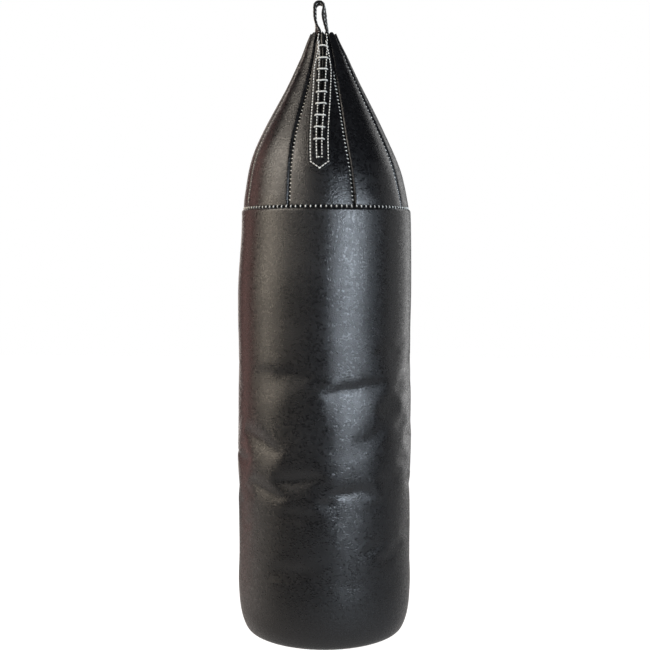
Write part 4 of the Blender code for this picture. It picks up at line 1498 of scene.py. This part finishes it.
FLOOR_DROP = 0.45           # below the hung bag
CAMERA_DISTANCE = 1.8
CAMERA_BEARING = math.radians(3.5)
CAMERA_LEVEL = -0.3857
CAMERA_DIP = math.radians(2.62)
# Soft lamps round the bag: bearing from its front in degrees, distance, level, width, height,
# watts and colour.
LAMPS = (
    ("key_softbox", 33, 2.6, -0.22, 1.20, 1.24, 42, "e6f2ff"),
    ("key_spill", 44, 2.8, -0.20, 2.4, 1.20, 20, "e6f2ff"),
    ("front_panel", -15, 3.2, 0.45, 2.3, 2.1, 6, "ffffff"),
    ("left_spill", -45, 2.6, 0.0, 1.5, 1.3, 5, "fff4e6"),
    ("left_strip", -76, 2.2, -0.25, 1.15, 1.31, 15, "fff0dc"),
    ("upper_left", -66, 2.3, 1.45, 2.1, 2.1, 60, "fff4e6"),
    ("left_back_strip", -122, 2.4, -0.2, 1.2, 2.4, 8, "d8a49c"),
    ("left_rim_strip", -161, 2.6, -0.2, 0.7, 2.2, 5, "fff0e8"),
    ("right_spill", 106, 2.6, -0.2, 1.6, 2.0, 4, "ffffff"),
    ("left_floor_glow", -93, 1.6, -1.31, 1.3, 0.22, 1.0, "f6ece4"),
    ("rim_softbox", 143, 2.6, -0.1, 1.3, 2.4, 10, "ffffff"),
)


def add_softbox(name, bearing, distance, level, width, height, watts, colour):
    """A soft rectangular lamp that faces the bag, at a bearing from its front."""
    lamp = bpy.data.lights.new(name, "AREA")
    lamp.shape = "RECTANGLE"
    lamp.size = width
    lamp.size_y = height
    lamp.energy = watts
    lamp.color = srgb(colour)[:3]
    box = bpy.data.objects.new(name, lamp)
    bpy.context.scene.collection.objects.link(box)
    box.location = polar(distance, bearing, level)
    box.rotation_euler = (Vector((0.0, 0.0, level)) - box.location).to_track_quat("-Z", "Y").to_euler()


class BAG_OT_stage(bpy.types.Operator):
    """Build the paper floor, the soft lamps and the camera."""

    bl_idname = "bag.stage"
    bl_label = "Stage"

    def execute(self, context):
        floor_level = BASE - FLOOR_DROP
        deselect()
        # 18 m broad, from 2.3 m in front of the bag to 9 m behind it.
        bpy.ops.mesh.primitive_plane_add(size=2.0, location=(0.0, 0.0, floor_level))
        floor = context.object
        bpy.ops.object.mode_set(mode="EDIT")
        bpy.ops.mesh.select_all(action="SELECT")
        bpy.ops.transform.resize(value=(9.0, 5.65, 1.0), center_override=(0.0, 0.0, floor_level))
        bpy.ops.transform.translate(value=(0.0, 3.35, 0.0))
        bpy.ops.object.mode_set(mode="OBJECT")
        bpy.ops.object.transform_apply(location=True, rotation=True, scale=True)
        floor.name = "paper_floor"
        floor.data.materials.append(white_paper("matt_white_paper"))

        for name, bearing, *rest in LAMPS:
            add_softbox(name, math.radians(bearing), *rest)

        world = bpy.data.worlds.new("soft_room")
        context.scene.world = world
        world.use_nodes = True
        tree = world.node_tree
        tree.nodes.clear()
        rays = add_node(tree, "ShaderNodeLightPath")
        dim = add_node(tree, "ShaderNodeBackground", None, {"Color": srgb("ffffff"), "Strength": 0.02})
        white = add_node(tree, "ShaderNodeBackground", None, {"Color": srgb("ffffff"), "Strength": 1.0})
        mix = add_node(tree, "ShaderNodeMixShader", None,
                       {"Fac": rays.outputs["Is Camera Ray"], 1: dim.outputs["Background"],
                        2: white.outputs["Background"]})
        add_node(tree, "ShaderNodeOutputWorld", None, {"Surface": mix.outputs["Shader"]})

        lens = bpy.data.cameras.new("camera")
        lens.lens = 62.2
        lens.sensor_width = 36.0
        lens.shift_x = 0.0024
        lens.shift_y = -0.040
        lens.clip_end = 60.0
        camera = bpy.data.objects.new("camera", lens)
        context.scene.collection.objects.link(camera)
        camera.location = polar(CAMERA_DISTANCE, CAMERA_BEARING, CAMERA_LEVEL)
        camera.rotation_euler = (math.pi / 2 - CAMERA_DIP, 0.0, CAMERA_BEARING)
        context.scene.camera = camera
        context.scene.view_settings.view_transform = "Standard"
        return {"FINISHED"}


class BAG_OT_hanging_strap(bpy.types.Operator):
    """Make the doubled leather loop, its two tails round the ring and their stitches."""

    bl_idname = "bag.hanging_strap"
    bl_label = "Hanging strap"

    def execute(self, context):
        pitch = settings().stitch_pitch
        stitch = pitch * 0.78
        thread = finish_named("waxed_thread")
        loop = make_strap("loop_strap", arch_path())
        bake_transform(loop)
        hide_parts("loop_outer_ply", "loop_inner_ply")
        tops = sew("loop_stitches", stitch, strap_stitches(arch_path(), pitch), thread)
        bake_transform(tops)
        places = []
        for side, name in ((-1, "left"), (1, "right")):
            path = tail_path(side)
            tail = make_strap(f"{name}_strap_tail", path)
            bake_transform(tail)
            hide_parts(f"{name}_leg_outer_ply", f"{name}_leg_inner_ply", f"{name}_strap_end")
            places += strap_stitches(path[:LEG_STEPS + 1], pitch)
        tails = sew("tail_stitches", stitch, places, thread)
        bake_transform(tails)
        return {"FINISHED"}


class BAG_OT_petals(bpy.types.Operator):
    """Make the eight puffed petals of the cone."""

    bl_idname = "bag.petals"
    bl_label = "Petals"

    def execute(self, context):
        for number, name in enumerate(PETAL_NAMES):
            petal = make_petal(f"{name}_leather", number)
            if number == 0:
                cut_out(petal, joined([slit_wedge(), hole_punches()]))
            mark_wear(petal, seam_wear)
            hand_over(petal, name)
        return {"FINISHED"}


class BAG_OT_cone_stitches(bpy.types.Operator):
    """Sew the petals to each other and to the body with white thread."""

    bl_idname = "bag.cone_stitches"
    bl_label = "Cone stitches"

    def execute(self, context):
        pitch = settings().stitch_pitch
        thread = finish_named("waxed_thread")
        places = []
        slant = Matrix.Rotation(SEAM_STITCH_SLANT, 4, "Z")
        top = cone_point(cone_share(SEAM_STITCH_TOP, 0))[1]
        for number in range(PETALS):
            seam = (number + 0.5) * PETAL_ANGLE
            beside = (SEAM_OPENING / 2 + SEAM_STITCH_ASIDE) * (-1 if seam < math.pi else 1)
            route = [(beside, CONE_FOOT + 0.004), (beside, top)]
            places += [place @ slant for place in spaced(route, functools.partial(on_seam, seam), pitch)]
        seams = sew("petal_seam_stitches", SEAM_STITCH, places, thread)
        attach(seams, "bag")
        places = []
        for angle in round_about(round(2 * math.pi * SHOULDER_RADIUS / (1.2 * pitch))):
            place = on_bag(SHOULDER_RADIUS + 0.0010, angle, SHOULDER + 0.0014)
            out = polar(1.0, angle, 0.45).normalized()
            down = polar(0.35, angle, -1.0)
            places.append(placement(place, down, out))
        thicker = settings().thread_size * 1.1
        shoulder = sew("shoulder_seam_stitches", SHOULDER_STITCH, places, thread, thicker)
        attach(shoulder, "bag")
        return {"FINISHED"}


class BAG_OT_placket(bpy.types.Operator):
    """Make the pointed facing round the slit, with its rows of white stitches."""

    bl_idname = "bag.placket"
    bl_label = "Placket"

    def execute(self, context):
        placket = make_placket()
        cut_out(placket, hole_punches())
        hand_over(placket, "lacing_placket")
        thread = finish_named("waxed_thread")
        pitch = settings().stitch_pitch * 0.82
        edge = []
        beside = []
        for side in (-1, 1):
            levels = evenly(PLACKET_TOP - 0.014, PLACKET_TIP + PLACKET_POINT + 0.0012, 16)
            route = [(side * (placket_half_width(level) - OUTER_STITCH_INSET), level) for level in levels]
            route.append((0.0, PLACKET_TIP + 0.0034))
            edge += spaced(route, on_placket, pitch)
            levels = evenly(PLACKET_TOP - 0.002, SLIT_END - 0.003, 16)
            route = [(side * slit_row(level), level) for level in levels]
            if side > 0:
                route.append((-route[-1][0], route[-1][1]))
            beside += spaced(route, on_placket, pitch)
        for name, places in (("placket_edge_stitches", edge), ("slit_stitches", beside)):
            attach(sew(name, pitch, places, thread), "bag")
        return {"FINISHED"}


class BAG_OT_tongue(bpy.types.Operator):
    """Make the glazed tongue behind the slit, which swells out of its mouth."""

    bl_idname = "bag.tongue"
    bl_label = "Tongue"

    def execute(self, context):
        hand_over(make_tongue(), "lace_tongue")
        return {"FINISHED"}


class BAG_OT_lace(bpy.types.Operator):
    """Thread the braided lace through the holes of the placket."""

    bl_idname = "bag.lace"
    bl_label = "Lace"

    def execute(self, context):
        lace = make_lace()
        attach(lace, "bag")
        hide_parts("lace")
        return {"FINISHED"}


class BAG_OT_body(bpy.types.Operator):
    """Make the body's leather and the two rows of stitches along its back joint."""

    bl_idname = "bag.body"
    bl_label = "Body"

    def execute(self, context):
        body = make_body()
        let_down(body)
        mark_wear(body, lip_wear)
        hand_over(body, "body_panel")
        pitch = settings().stitch_pitch
        places = []
        for across in (-BACK_ROW, BACK_ROW):
            route = [(across, SHOULDER - 0.012), (across, BODY_FOOT + CORNER_RISE)]
            places += spaced(route, on_back, pitch)
        rows = sew("back_seam_stitches", pitch * 0.8, places, finish_named("waxed_thread"))
        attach(rows, "bag")
        return {"FINISHED"}


class BAG_OT_base(bpy.types.Operator):
    """Make the base disc and the welt round it."""

    bl_idname = "bag.base"
    bl_label = "Base"

    def execute(self, context):
        add_lowered(
            (make_base, "base_disc", "black_leather"),
            (make_welt, "base_welt", "strap_leather"))
        return {"FINISHED"}


class BAG_OT_neck_stuffing(bpy.types.Operator):
    """Pack the crumpled rags inside the neck."""

    bl_idname = "bag.neck_stuffing"
    bl_label = "Neck stuffing"

    def execute(self, context):
        hand_over(make_stuffing(), "neck_filling")
        return {"FINISHED"}


class BAG_OT_inner_layers(bpy.types.Operator):
    """Make the canvas cup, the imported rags, the felt disc and the tape inside the body."""

    bl_idname = "bag.inner_layers"
    bl_label = "Inner layers"

    def execute(self, context):
        add_lowered(
            (make_lining, "canvas_lining", "canvas"),
            (make_rags, "body_filling", "packed_rags"),
            (make_pad, "base_pad", "felt"),
            (make_tape, "back_seam_tape", "strap_leather"))
        return {"FINISHED"}


class BAG_OT_ring(bpy.types.Operator):
    """Give the frame's welded ring its steel finish."""

    bl_idname = "bag.ring"
    bl_label = "Ring"

    def execute(self, context):
        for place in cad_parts["neck_ring"].material_slots:
            place.material = finish_named("drawn_steel_wire")
        return {"FINISHED"}


PIECES = (
    BAG_OT_stage,
    BAG_OT_hanging_strap,
    BAG_OT_petals,
    BAG_OT_cone_stitches,
    BAG_OT_placket,
    BAG_OT_tongue,
    BAG_OT_lace,
    BAG_OT_body,
    BAG_OT_base,
    BAG_OT_neck_stuffing,
    BAG_OT_inner_layers,
    BAG_OT_ring,
)


class BAG_PT_pieces(bpy.types.Panel):
    """Sizes, colours and the pieces of the bag."""

    bl_idname = "BAG_PT_pieces"
    bl_label = "Punching bag"
    bl_space_type = "VIEW_3D"
    bl_region_type = "UI"
    bl_category = "Bag"

    def draw(self, context):
        own = context.scene.bag_settings
        sizes = self.layout.box()
        for name in own.__annotations__:
            sizes.prop(own, name)
        pieces = self.layout.column(align=True)
        for piece in PIECES:
            pieces.operator(piece.bl_idname)


def register():
    """Make the settings, the operators and the panel known to Blender."""
    bpy.utils.register_class(BagSettings)
    for piece in PIECES:
        bpy.utils.register_class(piece)
    bpy.utils.register_class(BAG_PT_pieces)
    bpy.types.Scene.bag_settings = PointerProperty(type=BagSettings)


def unregister():
    """Take them away again, in reverse order."""
    del bpy.types.Scene.bag_settings
    bpy.utils.unregister_class(BAG_PT_pieces)
    for piece in reversed(PIECES):
        bpy.utils.unregister_class(piece)
    bpy.utils.unregister_class(BagSettings)


def main():
    """Build every piece in order."""
    register()
    for piece in PIECES:
        group, name = piece.bl_idname.split(".")
        getattr(getattr(bpy.ops, group), name)()


if __name__ == "__main__":
    main()
